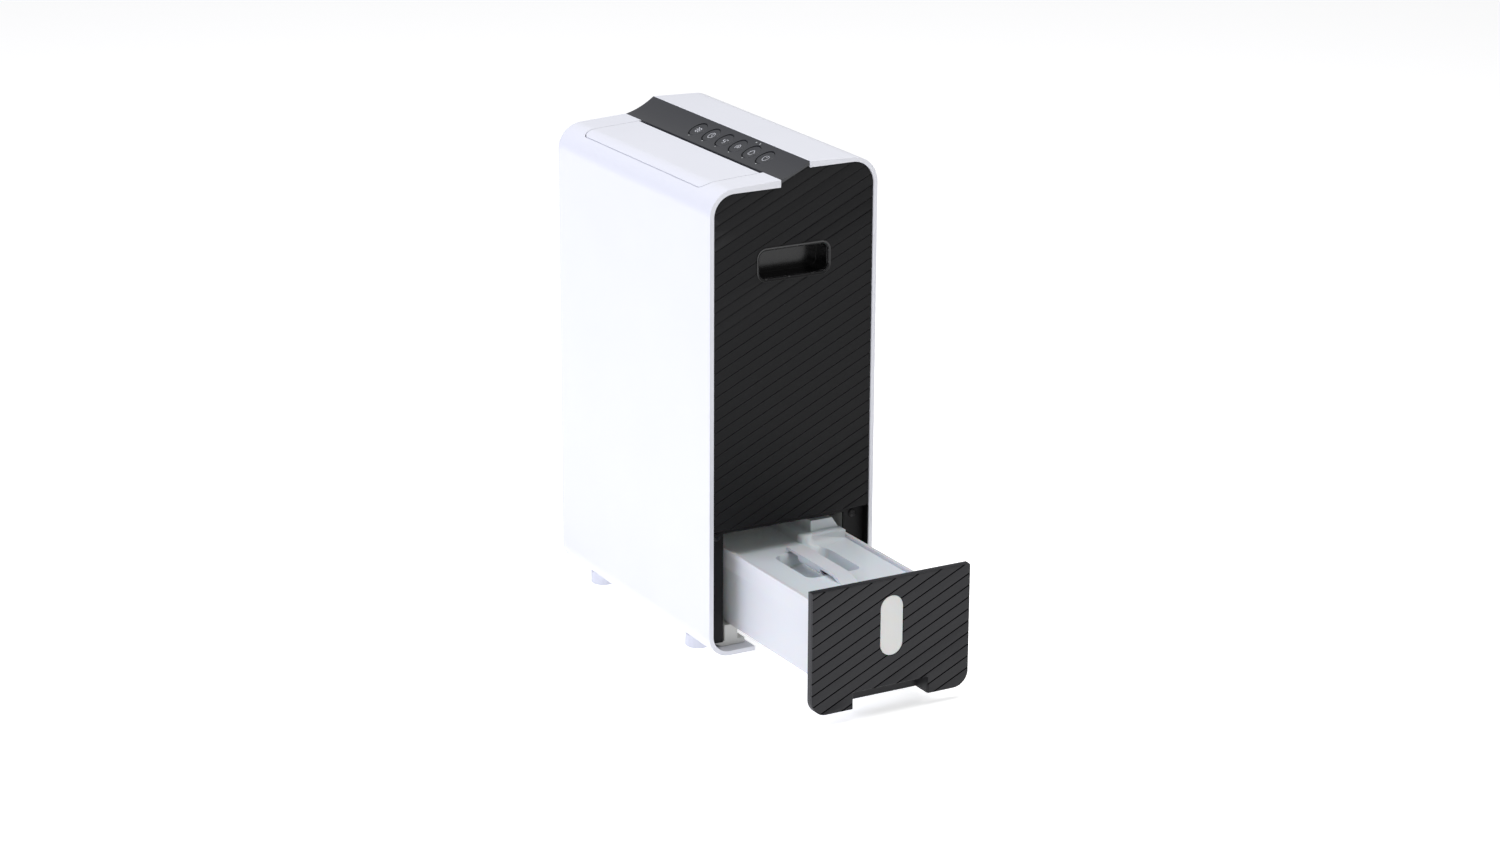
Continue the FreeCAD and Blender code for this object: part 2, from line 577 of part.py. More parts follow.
wheel = newBody("fan_wheel")
BLADES = 36
disc = sketchOn(wheel, "wheel_disc", "XZ_Plane", "80")
ring(disc, "fanX", "fanZ", "fanR")
pad(wheel, "wheel_back", disc, 2)
hub = ring(sketchOn(wheel, "wheel_hub", "XZ_Plane", "80"), "fanX", "fanZ", "fanHubR")
wheelHub = pad(wheel, "wheel_boss", hub, 26)
wheelHub.Reversed = True
blade = outline(sketchOn(wheel, "wheel_blade", "XZ_Plane", "80"), [
    ("fanX - 1", "fanZ + fanR - 13"), ("fanX + 0.6", "fanZ + fanR - 13"),
    ("fanX + 4.4", "fanZ + fanR - 2.5"), ("fanX + 2.4", "fanZ + fanR - 2.5")])
bladePad = pad(wheel, "wheel_blade_pad", blade, 46)
bladePad.Reversed = True
doc.recompute()
axisLine = sketchOn(wheel, "wheel_axis", "YZ_Plane", "fanX")
axisLine.addGeometry(Part.LineSegment(Vector(-100, size("fanZ"), 0), Vector(0, size("fanZ"), 0)))
pin(axisLine, "DistanceY", 0, 1, "fanZ")
pin(axisLine, "DistanceY", 0, 2, "fanZ")
spinPattern = wheel.newObject("PartDesign::PolarPattern", "wheel_blades")
spinPattern.Originals = [bladePad]
spinPattern.Axis = (axisLine, ["Edge1"])
spinPattern.Angle = 360
spinPattern.Occurrences = BLADES
wheel.Tip = spinPattern
doc.recompute()
rimBand = sketchOn(wheel, "wheel_rim", "XZ_Plane", "34")
ring(rimBand, "fanX", "fanZ", "fanR")
ring(rimBand, "fanX", "fanZ", "fanR - 3.5")
pad(wheel, "wheel_front", rimBand, 3)
shaftHole = ring(sketchOn(wheel, "wheel_bore", "XZ_Plane", "84"), "fanX", "fanZ", "fanShaftR + 0.02")
pocket(wheel, "wheel_bore_cut", shaftHole, 40, backwards=False)
node("fan_wheel", wheel)

motorCan = rod("motor_can", "y", "fanX", -24, "fanZ", 36, 46)
motorShaft = rod("motor_shaft", "y", "fanX", -79, "fanZ", "fanShaftR", 56)
motorBar = box("motor_bar", "fanX - 70", -8, "fanZ - 8", 140, 3, 16)
motorLegs = [box(f"motor_leg_{i}", f"fanX + {x}", -27.8, "fanZ - 8", 4, 22, 16)
             for i, x in enumerate((-70, 66))]
node("fan_motor", fuse("fan_motor_set", motorCan, motorShaft, motorBar, *motorLegs))

# ---- coils, compressor and pipes ----


def coil(name, low, deep):
    """A finned coil: end plates, a fin pack and the pipe bends at its right end."""
    pack = box(name + "_pack", "coilLeft + 6", low, "coilLow", "coilRight - coilLeft - 12", deep,
               "coilHigh - coilLow")
    plates = [box(f"{name}_plate_{i}", x, f"{low} - 1", "coilLow - 2", 2, f"{deep} + 2",
                  "coilHigh - coilLow + 4")
              for i, x in enumerate(("coilLeft + 4", "coilRight - 6"))]
    bends = []
    for i in range(10):
        turn = doc.addObject("Part::Torus", f"{name}_bend_{i}")
        turn.Radius1 = 7.0
        turn.Radius2 = 2.6
        turn.Placement = FreeCAD.Placement(Vector(), FreeCAD.Rotation(Vector(0, 0, 1), 0))
        turn.Placement.Rotation = FreeCAD.Rotation(Vector(1, 0, 0), 90)
        place(turn, "coilRight - 4.2", f"{low} + {deep}/2", f"coilLow + 18 + {i}*26.5")
        bends.append(turn)
    return node(name, fuse(name + "_set", pack, *plates, *bends))


coil("evaporator", "56", "20")
coil("condenser", "30", "20")

compressorCan = rod("compressor_can", "z", -112, 28, 170, 46, 140)
dome = doc.addObject("Part::Ellipsoid", "compressor_dome")
dome.Radius1 = 16.0
dome.Radius2 = 46.0
dome.Angle1 = 0.0
place(dome, -112, 28, 310)
sumpPlate = rod("compressor_plate", "z", -112, 28, 165, 54, 5)
storage = rod("compressor_storage", "z", -72, -34, 190, 14, 90)
storageArm = box("compressor_strap", -96, -30, 226, 20, 30, 10)
node("compressor", fuse("compressor_set", compressorCan, dome, sumpPlate, storage, storageArm))
grommets = [rod(f"grommet_{i}", "z", -112 + 45 * math.cos(math.radians(90 + 120 * i)),
                28 + 45 * math.sin(math.radians(90 + 120 * i)), "deckLow + deckThick", 7, 10)
             for i in range(3)]
node("compressor_mounts", group("compressor_mounts_set", *grommets))


def pipe(name, points, radius, bend):
    """A round pipe along straight runs joined by tangent arcs."""
    corners = [Vector(size(f"{MIDDLE} + {x}"), size(y), size(z)) for x, y, z in points]
    edges = []
    start = corners[0]
    for before, corner, after in zip(corners, corners[1:], corners[2:]):
        arrive = (corner - before).normalize()
        leave = (after - corner).normalize()
        turn = arrive.getAngle(leave)
        setback = bend * math.tan(turn / 2)
        first = corner - arrive * setback
        last = corner + leave * setback
        inward = (leave - arrive).normalize()
        centre = corner + inward * (bend / math.cos(turn / 2))
        middle = centre - inward * bend
        edges.append(Part.LineSegment(start, first).toShape())
        edges.append(Part.Arc(first, middle, last).toShape())
        start = last
    edges.append(Part.LineSegment(start, corners[-1]).toShape())
    path = Part.Wire(edges)
    end = Part.Wire([Part.Circle(corners[0], corners[1] - corners[0], radius).toShape()])
    item = doc.addObject("Part::Feature", name)
    item.Shape = path.makePipeShell([end], True, False)
    return node(name, item)


pipe("suction_pipe", [(-72, -34, 280.2), (-72, -34, 385), (-72, 66, 385), ("coilLeft + 3.8", 66, 385)],
     4.0, 7.5)
pipe("discharge_pipe", [(-112, 40, 326), (-112, 40, 352), ("coilLeft + 3.8", 40, 352)], 3.2, 8.0)

# ---- floor parts: base tray, rails, deck and feet ----

base = newBody("base_tray_plate")
tray = outline(sketchOn(base, "tray_section", "YZ_Plane", "-innerX"), [
    ("-77", "shellLow + rim + 0.2"), ("77", "shellLow + rim + 0.2"), ("88", "baseTop"), ("-88", "baseTop")])
pad(base, "tray_run", tray, "innerX + frameX - sideThick - 0.2")
mouth = oblong(sketchOn(base, "tray_mouth", "XY_Plane", "baseTop"), "40", "frameX", "-49", "49")
pocket(base, "tray_mouth_cut", mouth, "20")
for name, near in (("rail_front", "openLeft + railIn"),
                   ("rail_back", "2*tankMid - openLeft - railIn - railWide")):
    rail = oblong(sketchOn(base, name, "XY_Plane", "baseTop"), "bayWallX + 4", "frameX - sideThick - 0.2",
                  near, f"{near} + railWide")
    pad(base, name + "_pad", rail, "railTop - baseTop")
node("base_tray", base)

deckPlate = box("deck_plate", "-innerX", "-sideHalf + 0.1", "deckLow", "innerX + frameX - sideThick - 0.2",
                "2*sideHalf - 0.2", "deckThick")
deckDrain = rod("deck_drain", "z", -70, 0, "deckLow - 1", 9, 20)
sumpRim = cut("sump_rim", box("sump_outer", -75, 24, "deckLow + deckThick - 0.1", 230, 62, 4),
              box("sump_inner", -73, 26, "deckLow + deckThick - 1", 226, 58, 8))
spout = cut("deck_spout_ring", rod("deck_spout", "z", -70, 0, "deckLow - 8", 12, 8.1), deckDrain)
node("mid_deck", fuse("mid_deck_set", cut("deck_open", deckPlate, rod("deck_hole", "z", -70, 0, 140, 9, 30)),
                      sumpRim, spout))
node("bay_wall", cut("bay_wall_set", box("bay_wall_plate", "bayWallX", "-sideHalf + 6", "baseTop", 3,
                                         "2*sideHalf - 12", "deckLow - baseTop"),
                     rod("bay_wall_hole", "x", "bayWallX - 1", 60, 90, 6, 5)))
LINER = ("bayWallX + 3.2", "frameX - sideThick - 0.2 - (bayWallX + 3.2)")
linerFront = box("liner_front", LINER[0], "openLeft - 0.3 - linerThick", "baseTop + 0.1", LINER[1],
                 "linerThick",
                 "linerTop - baseTop - 0.1")
linerRear = box("liner_rear", LINER[0], "openRight + 0.3", "railTop + 0.1", LINER[1], "linerThick",
                "linerTop - railTop - 0.1")
linerRoof = box("liner_roof", LINER[0], "openLeft - 0.3 - linerThick", "linerTop - linerThick", LINER[1],
                "openRight - openLeft + 0.6 + 2*linerThick", "linerThick")
linerDrain = rod("liner_drain", "z", -70, 0, "linerTop - 5", 12.6, 10)
node("bay_liner", cut("bay_liner_set", fuse("liner_sheet", linerFront, linerRear, linerRoof), linerDrain))
switchBody = box("switch_body", "bayWallX + 3", -46, 62, 8, 22, 14)
switchTab = box("switch_tab", "bayWallX + 11", -38, 66, 3, 6, 6)
node("tank_switch", fuse("tank_switch_set", switchBody, switchTab))

for sx, along in ((-1, "left"), (1, "right")):
    for sy, across in ((-1, "front"), (1, "rear")):
        name = f"foot_{across}_{along}"
        disc = rod(name + "_disc", "z", f"{sx}*footX", f"{sy}*footY", 0, "footR", 14)
        flat = box(name + "_flat", "-caseLong/2", f"{sy}*38 - 38", "shellLow", "caseLong", 76, 20)
        bend = rod(name + "_bend", "x", "-caseLong/2", f"{sy}*76", "shellLow + lowRound", "lowRound",
                   "caseLong")
        node(name, cut(name + "_cut", disc, flat, bend))

screws = []
for i, y in enumerate(("-85.5", "81")):
    head = rod(f"screw_head_{i}", "x", "frameX", y, 138, 4.6, 2.2)
    cross = [box(f"screw_slot_{i}_{k}", "frameX + 1", f"{y} - {w}/2", f"138 - {h}/2", 2, w, h)
             for k, (w, h) in enumerate(((4.6, 0.9), (0.9, 4.6)))]
    screws.append(cut(f"screw_{i}", head, *cross))
node("frame_screws", group("frame_screws_set", *screws))

# ---- water tank, drawn out along +X ----


def drawn(depth):
    """An x that lies the given depth behind the tank's front face."""
    return f"tankFace + tankOut - ({depth})"


panel = newBody("tank_front")
face = outline(sketchOn(panel, "panel_face", "YZ_Plane", drawn("panelThick")), [
    ("-panelHalf", "panelLow"), ("-notchHalf", "panelLow"), ("-notchHalf", "notchTop"),
    ("notchHalf", "notchTop"), ("notchHalf", "panelLow"), ("panelHalf", "panelLow"),
    ("panelHalf", "panelTop"), ("-panelHalf", "panelTop")])
slab = pad(panel, "panel_slab", face, "panelThick")
LOW_CORNERS = [("-panelHalf", "panelLow"), ("panelHalf", "panelLow")]
fillet(panel, "panel_corners", slab, 0, LOW_CORNERS, "panelRound")
channel = outline(sketchOn(panel, "panel_channel", "YZ_Plane", drawn("notchDeep")), [
    ("-notchHalf - 2.4", "panelLow"), ("-notchHalf", "panelLow"), ("-notchHalf", "notchTop"),
    ("notchHalf", "notchTop"), ("notchHalf", "panelLow"), ("notchHalf + 2.4", "panelLow"),
    ("notchHalf + 2.4", "notchTop + 2.2"), ("-notchHalf - 2.4", "notchTop + 2.2")])
pad(panel, "panel_channel_run", channel, "notchDeep - panelThick + 0.01")
back = oblong(sketchOn(panel, "panel_back", "YZ_Plane", drawn("notchDeep")),
              "-notchHalf - 2.4", "notchHalf + 2.4", "panelLow", "notchTop + 2.2")
pad(panel, "panel_channel_back", back, 2.4)
relief = outline(sketchOn(panel, "panel_relief", "YZ_Plane", drawn("panelThick")), [
    ("-panelHalf + 2.6", "panelLow + 20"), ("-panelHalf + 12", "panelLow + 6"),
    ("-notchHalf - 5", "panelLow + 6"), ("-notchHalf - 5", "notchTop + 5"),
    ("notchHalf + 5", "notchTop + 5"), ("notchHalf + 5", "panelLow + 6"),
    ("panelHalf - 12", "panelLow + 6"), ("panelHalf - 2.6", "panelLow + 20"),
    ("panelHalf - 2.6", "panelTop - 2.6"), ("-panelHalf + 2.6", "panelTop - 2.6")])
pocket(panel, "panel_relief_cut", relief, "panelThick - panelSkin", backwards=True)
window = oblong(sketchOn(panel, "panel_window", "YZ_Plane", drawn("-1")),
                "-windowHalf", "windowHalf", "windowZ - windowHigh/2", "windowZ + windowHigh/2")
windowCut = pocket(panel, "panel_window_cut", window, "panelSkin + 1")
WINDOW_CORNERS = [(a, b) for a in ("-windowHalf", "windowHalf")
                  for b in ("windowZ - windowHigh/2", "windowZ + windowHigh/2")]
fillet(panel, "panel_window_round", windowCut, 0, WINDOW_CORNERS, "windowHalf - 0.02")
grooves(panel, "panel", drawn("0"), False, "(grooveFirst - 16*grooveRise)", 17)
node("tank_front", panel)

lens = newBody("tank_window")
lensFace = oblong(sketchOn(lens, "lens_face", "YZ_Plane", drawn("panelSkin + 1.9")),
                  "-windowHalf + 0.1", "windowHalf - 0.1", "windowZ - windowHigh/2 + 0.1",
                  "windowZ + windowHigh/2 - 0.1")
lensPlate = pad(lens, "lens_plate", lensFace, "panelSkin + 1.4")
fillet(lens, "lens_round", lensPlate, 0, [(f"{a} {'+' if a[0] == '-' else '-'} 0.1", b) for a in
       ("-windowHalf", "windowHalf") for b in ("windowZ - windowHigh/2 + 0.1",
                                               "windowZ + windowHigh/2 - 0.1")],
       "windowHalf - 0.13")
lensFlange = oblong(sketchOn(lens, "lens_flange", "YZ_Plane", drawn("panelSkin + 1.9")),
                    "-windowHalf - 3", "windowHalf + 3", "windowZ - windowHigh/2 - 3",
                    "windowZ + windowHigh/2 + 3")
pad(lens, "lens_flange_pad", lensFlange, 1.8)
node("tank_window", lens)

bucket = newBody("tank_bucket")


def level(body, name, front_t, back_t, half, low, high, cutting=False):
    """One level of the tank between two depths: a block, or a hollow from its top down."""
    sketch = sketchOn(body, name, "XY_Plane", high if cutting else low)
    oblong(sketch, drawn(back_t), drawn(front_t), f"tankMid - ({half})", f"tankMid + {half}")
    if cutting:
        return pocket(body, name + "_cut", sketch, f"{high} - ({low})")
    return pad(body, name + "_pad", sketch, f"{high} - ({low})")


def planCorners(front_t, back_t, half):
    return [(drawn(depth), f"tankMid {sign} {half}") for depth in (front_t, back_t) for sign in "+-"]


TANK_NEAR = "panelThick + 0.2"
low = level(bucket, "bucket_low", f"{TANK_NEAR} + 2", "tankLong - 3", "bucketHalf", "bucketLow",
            "collarLow")
fillet(bucket, "bucket_low_round", low, 2, planCorners(f"{TANK_NEAR} + 2", "tankLong - 3", "bucketHalf"), 12)
collar = level(bucket, "bucket_collar", TANK_NEAR, "tankLong - 1.5", "collarHalf", "collarLow", "tankTop")
fillet(bucket, "bucket_collar_round", collar, 2, planCorners(TANK_NEAR, "tankLong - 1.5", "collarHalf"), 10)
lip = level(bucket, "bucket_lip", TANK_NEAR, "tankLong", "rimHalf", "lipLow", "tankTop")
fillet(bucket, "bucket_lip_round", lip, 2, planCorners(TANK_NEAR, "tankLong", "rimHalf"), 10)
level(bucket, "bucket_cavity", f"{TANK_NEAR} + 4.6", "tankLong - 5.4", "bucketHalf - wall",
      "bucketLow + wall", "tankTop", cutting=True)
level(bucket, "bucket_seat", f"{TANK_NEAR} + wall", "tankLong - 3.8", "collarHalf - wall", "ledgeZ",
      "tankTop", cutting=True)
node("tank_bucket", bucket)

lid = newBody("tank_lid")
level(lid, "lid_sheet", f"{TANK_NEAR} + wall + 0.3", "tankLong - 4.1", "collarHalf - wall - 0.3",
      "lidTop - lidThick", "lidTop")
WELL = ("109", "184.5", "-2", "32.4")  # the finger well: near and far depth, middle and half-width


def lidBlock(name, near_t, far_t, middle, half, low, high, cutting=False):
    sketch = sketchOn(lid, name, "XY_Plane", high if cutting else low)
    oblong(sketch, drawn(far_t), drawn(near_t), f"{middle} - ({half})", f"{middle} + {half}")
    if cutting:
        return pocket(lid, name + "_cut", sketch, f"{high} - ({low})")
    return pad(lid, name + "_pad", sketch, f"{high} - ({low})")


def roundWell(name, base, near_t, far_t, middle, half, radius):
    corners = [(drawn(t), f"{middle} {sign} ({half})") for t in (near_t, far_t) for sign in "+-"]
    return fillet(lid, name, base, 2, corners, radius)


lidBlock("well_outer", f"{WELL[0]} - 2", f"{WELL[1]} + 2", WELL[2], f"{WELL[3]} + 2", "lidTop - 16",
         "lidTop - lidThick + 0.01")
well = lidBlock("well_inner", WELL[0], WELL[1], WELL[2], WELL[3], "lidTop - 14", "lidTop", cutting=True)
roundWell("well_round", well, WELL[0], WELL[1], WELL[2], WELL[3], 9)
STEP_CORNER = [(drawn("200"), "12")]
chamberStep = lidBlock("chamber_step", "200", "268", "38", "26", "lidTop - 1", "lidTop + 9")
fillet(lid, "chamber_step_round", chamberStep, 2, STEP_CORNER, 12)
chamber = outline(sketchOn(lid, "chamber_side", "YZ_Plane", drawn("264")), [
    ("28", "lidTop + 8"), ("63", "lidTop + 8"), ("60", "lidTop + 12"), ("54", "openTop - 2.2"),
    ("28", "openTop - 2.2")])
pad(lid, "chamber_top", chamber, "264 - 212")
under = oblong(sketchOn(lid, "chamber_under", "XY_Plane", "lidTop - lidThick - 0.5"), drawn("262"),
               drawn("214"),
               "30", "51")
pocket(lid, "chamber_hollow", under, "openTop - 4.6 - (lidTop - lidThick - 0.5)", backwards=True)
node("tank_lid", lid)

handle = newBody("tank_handle")
grip = outline(sketchOn(handle, "handle_side", "XZ_Plane", "-handleY - 9.5"), [
    (drawn("72"), "lidTop"), (drawn("92"), "handleTop"), (drawn("187"), "handleTop"),
    (drawn("191"), "handleTop - 2.4"), (drawn("191"), "lidTop"), (drawn("187.5"), "lidTop"),
    (drawn("185"), "handleTop - 3"), (drawn("94"), "handleTop - 3"), (drawn("84"), "lidTop")])
pad(handle, "handle_bar", grip, 19)
doc.recompute()
troughOuter = rod("trough_outer", "x", drawn("166"), "handleY", "handleTop - 2.9", 9.5, 46)
troughInner = rod("trough_inner", "x", drawn("170"), "handleY", "handleTop - 2.9", 7.6, 60)
troughTop = box("trough_top", drawn("170"), "handleY - 12", "handleTop - 2.9", 60, 24, 14)
trough = cut("handle_trough", troughOuter, troughInner, troughTop)
node("tank_handle", fuse("tank_handle_set", handle, trough))

# float: a sealed block on a lever that rises with the water
bracketPlate = box("bracket_plate", drawn("pivotT + 12"), -48, "bucketLow + wall", 24, 30, 2)
ears = [box(f"bracket_ear_{i}", drawn("pivotT + 4"), y, "bucketLow + wall", 8, 2.5,
            "pivotZ - bucketLow - wall + 4")
        for i, y in enumerate((-46, -22.5))]
pivotPin = rod("bracket_pin", "y", drawn("pivotT"), -45, "pivotZ", "pivotR", 24)
node("float_bracket", fuse("float_bracket_set", bracketPlate, *ears, pivotPin))
leverEye = rod("lever_eye", "y", drawn("pivotT"), -42.5, "pivotZ", 4.2, 19)
leverArm = box("lever_arm", drawn("pivotT + 28"), -37, "pivotZ - 1.5", 27, 8, 3)
leverBore = rod("lever_bore", "y", drawn("pivotT"), -50, "pivotZ", "pivotR + pinGap", 30)
node("float_lever", cut("float_lever_set", fuse("lever_solid", leverEye, leverArm), leverBore))
floatHull = box("float_hull", drawn("pivotT + 68"), -48, "pivotZ - 9", 40, 30, 17)
magnetWell = rod("magnet_well", "z", drawn("pivotT + 58"), -33, "pivotZ - 1", 5.1, 12)
node("float_block", cut("float_block_set", floatHull, magnetWell))
node("float_magnet", group("float_magnet_set",
                           rod("magnet", "z", drawn("pivotT + 58"), -33, "pivotZ - 0.9", 5.0, 6)))

# ---- rear: intake grille, filter, drain and cable inlet ----

rearGrille = newBody("rear_grille")
grilleFrame = sketchOn(rearGrille, "grille_frame", "XZ_Plane", "-caseDeep/2")
EDGE = "intakeHalf - intakeGap"
oblong(grilleFrame, f"-({EDGE})", EDGE, "intakeLow + intakeGap", "intakeHigh - intakeGap")
pad(rearGrille, "grille_slab", grilleFrame, "rim - 0.4")
slotLine = oblong(sketchOn(rearGrille, "grille_slot", "XZ_Plane", "-caseDeep/2"),
                  f"-({EDGE}) + 10", f"{EDGE} - 10", "intakeLow + 12", "intakeLow + 18.5")
slot = pocket(rearGrille, "grille_slot_cut", slotLine, "rim", backwards=True)
repeat(rearGrille, "grille_slots", slot, "Z_Axis", "10.4", 26)
stay = oblong(sketchOn(rearGrille, "grille_stay", "XZ_Plane", "-caseDeep/2 + rim - 0.4"),
              "-3", "3", "intakeLow + 6", "intakeHigh - 6")
stayPad = pad(rearGrille, "grille_stay_pad", stay, 2)
stayPad.Reversed = True
doc.recompute()
node("rear_grille", rearGrille)
FILTER = "(intakeHalf - 6)"
filterOuter = box("filter_outer", f"-{FILTER}", "caseDeep/2 - 15", "intakeLow + 6", f"2*{FILTER}", 10,
                  "intakeHigh - intakeLow - 12")
filterWindow = box("filter_window", f"-{FILTER} + 8", "caseDeep/2 - 20", "intakeLow + 14",
                   f"2*{FILTER} - 16", 20,
                   "intakeHigh - intakeLow - 28")
bars = [box(f"filter_bar_{i}", f"-{FILTER} + {i}*2*{FILTER}/4 - 2", "caseDeep/2 - 15", "intakeLow + 8",
            4, 2.5,
            "intakeHigh - intakeLow - 16") for i in (1, 2, 3)]
node("filter_frame", fuse("filter_frame_set", cut("filter_ring", filterOuter, filterWindow), *bars))
node("filter_mesh", group("filter_mesh_set", box("filter_sheet", f"-{FILTER} + 8.1", "caseDeep/2 - 12",
                                                 "intakeLow + 14.1", f"2*{FILTER} - 16.2", 3,
                                                 "intakeHigh - intakeLow - 28.2")))
drainCup = rod("drain_cup", "y", DRAIN["x"], 78, DRAIN["z"], "8.9", 21)
drainBore = rod("drain_bore", "y", DRAIN["x"], 70, DRAIN["z"], 6, 40)
node("drain_spout", cut("drain_spout_set", drainCup, drainBore))
plugStem = rod("plug_stem", "y", DRAIN["x"], 84, DRAIN["z"], 5.94, 12)
plugHead = rod("plug_head", "y", DRAIN["x"], 95.9, DRAIN["z"], 5.94, 4)
plugWaist = cut("plug_waist", rod("plug_waist_outer", "y", DRAIN["x"], 90, DRAIN["z"], 7, 2.4),
                rod("plug_waist_inner", "y", DRAIN["x"], 89, DRAIN["z"], 5.2, 5))
node("drain_plug", cut("drain_plug_set", fuse("plug_solid", plugStem, plugHead), plugWaist))
glandOuter = rod("gland_outer", "y", CORD["x"], 84, CORD["z"], "7.9", 16)
glandBore = rod("gland_bore", "y", CORD["x"], 80, CORD["z"], 3.6, 30)
glandFlange = rod("gland_flange", "y", CORD["x"], 91, CORD["z"], 11, 3.8)
node("cable_gland", cut("cable_gland_set", fuse("gland_solid", glandOuter, glandFlange), glandBore))

# ---- electrical parts ----

powerPlate = box("power_plate", -163, -70, 215, 1.6, 92, 120)
heatSink = fuse("heat_sink", box("sink_back", -161.4, -60, 270, 4, 50, 50),
                *[box(f"sink_fin_{i}", -157.5, -60 + 8 * i, 270, 14, 2, 50) for i in range(7)])
relays = [box(f"relay_{i}", -161.5, -56 + 26 * i, 230, 16, 18, 16) for i in range(2)]
node("power_board", fuse("power_board_set", powerPlate, heatSink, *relays))
canister = rod("capacitor_can", "z", -140, -62, "deckLow + deckThick", 18, 70)
terminals = [rod(f"terminal_{i}", "z", -147 + 14 * i, -62, 224.9, 2.5, 8) for i in range(2)]
node("capacitor", fuse("capacitor_set", canister, *terminals))
node("humidity_sensor", fuse("humidity_sensor_set", box("sensor_case", 128, 86, 455, 20, 8, 26),
                             box("sensor_tab", 134, 82, 463, 8, 4.1, 10)))

doc.recompute()
failed = [o.Label for o in doc.Objects if {"Invalid", "Error"} & set(o.State)]
if failed:
    raise RuntimeError("not rebuilt: " + ", ".join(failed))
os.makedirs("parts", exist_ok=True)
for label, item in nodes.items():
    shape = item.Shape
    if shape.isNull() or not shape.isValid():
        raise RuntimeError(label + " has no valid shape")
for label, item in nodes.items():
    item.Shape.exportStep(f"parts/{label}.step")
print(len(nodes), "nodes written")
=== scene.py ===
import bpy
import bmesh
import math
import json
from mathutils import Matrix, Vector

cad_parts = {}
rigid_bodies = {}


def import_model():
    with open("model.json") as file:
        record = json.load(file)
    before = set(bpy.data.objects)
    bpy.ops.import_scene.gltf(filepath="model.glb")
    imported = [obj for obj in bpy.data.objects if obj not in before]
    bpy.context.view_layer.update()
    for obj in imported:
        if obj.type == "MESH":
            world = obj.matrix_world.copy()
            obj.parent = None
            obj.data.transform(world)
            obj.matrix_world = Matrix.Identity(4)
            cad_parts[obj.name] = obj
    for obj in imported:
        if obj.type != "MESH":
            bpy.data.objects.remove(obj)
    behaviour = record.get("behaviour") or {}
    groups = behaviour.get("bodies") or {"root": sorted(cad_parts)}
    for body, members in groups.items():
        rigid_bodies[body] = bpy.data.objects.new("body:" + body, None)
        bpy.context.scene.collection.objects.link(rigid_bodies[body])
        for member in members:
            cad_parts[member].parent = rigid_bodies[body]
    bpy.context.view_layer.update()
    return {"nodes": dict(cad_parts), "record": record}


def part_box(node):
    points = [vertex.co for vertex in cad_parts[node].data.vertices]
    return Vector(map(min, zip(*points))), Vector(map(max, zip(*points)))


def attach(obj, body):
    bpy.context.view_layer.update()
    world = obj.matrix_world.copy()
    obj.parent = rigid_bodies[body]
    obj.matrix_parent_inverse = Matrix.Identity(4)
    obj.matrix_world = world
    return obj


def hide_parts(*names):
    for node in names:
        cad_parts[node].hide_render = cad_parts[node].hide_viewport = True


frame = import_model()
nodes = frame["nodes"]
bodyOf = {part: body for body, parts in frame["record"]["behaviour"]["bodies"].items() for part in parts}
slotOf = {entry["node"]: entry["material_slot"] for entry in frame["record"]["subparts"]}
mm = 0.001  # Blender works in metres, sizes here are millimetres times this
print("frame loaded:", len(nodes), "nodes")


# small helpers for colours, nodes and materials

def linear(hexText):
    # an sRGB hex colour such as "F0F1F6" as linear red, green, blue, alpha
    parts = [int(hexText[i:i + 2], 16) / 255 for i in (0, 2, 4)]
    return tuple(v / 12.92 if v <= 0.04045 else ((v + 0.055) / 1.055) ** 2.4 for v in parts) + (1.0,)


def shaded(colour, factor):
    return tuple(v * factor for v in linear(colour)[:3]) + (1.0,)


def addNode(tree, kind, settings=None, links=None):
    # settings are attributes or input values, links are {input: (node, output)}
    made = tree.nodes.new(kind)
    for name, value in (settings or {}).items():
        if isinstance(name, str) and hasattr(made, name):
            setattr(made, name, value)
        else:
            made.inputs[name].default_value = value
    for name, (source, output) in (links or {}).items():
        tree.links.new(source.outputs[output], made.inputs[name])
    return made


def startMaterial(name):
    made = bpy.data.materials.new(name)
    made.use_nodes = True
    made.node_tree.nodes.clear()
    return made, made.node_tree, addNode(made.node_tree, "ShaderNodeTexCoord")


def mouldedPlastic(name, colour, roughness, grain, depth, tint=0.04, stretch=(1, 1, 1), **extra):
    # moulded plastics: faint colour drift, roughness drift and the mould's own fine grain
    made, tree, coords = startMaterial(name)
    turned = addNode(tree, "ShaderNodeMapping", {"Scale": stretch}, {"Vector": (coords, "Object")})
    drift = addNode(tree, "ShaderNodeTexNoise", {"Scale": 9.0, "Detail": 2.0}, {"Vector": (turned, "Vector")})
    shade = addNode(tree, "ShaderNodeMix", {"data_type": "RGBA", 6: linear(colour),
                                            7: shaded(colour, 1 - tint)},
                    {0: (drift, "Fac")})
    fine = addNode(tree, "ShaderNodeTexNoise", {"Scale": 1 / grain, "Detail": 3.0},
                   {"Vector": (coords, "Object")})
    rough = addNode(tree, "ShaderNodeMapRange", {"To Min": roughness - 0.03, "To Max": roughness + 0.03},
                    {"Value": (fine, "Fac")})
    bump = addNode(tree, "ShaderNodeBump", {"Strength": 0.6, "Distance": depth}, {"Height": (fine, "Fac")})
    shader = addNode(tree, "ShaderNodeBsdfPrincipled", {"IOR": 1.5, **extra},
                     {"Base Color": (shade, 2), "Roughness": (rough, "Result"), "Normal": (bump, "Normal")})
    addNode(tree, "ShaderNodeOutputMaterial", None, {"Surface": (shader, "BSDF")})
    return made


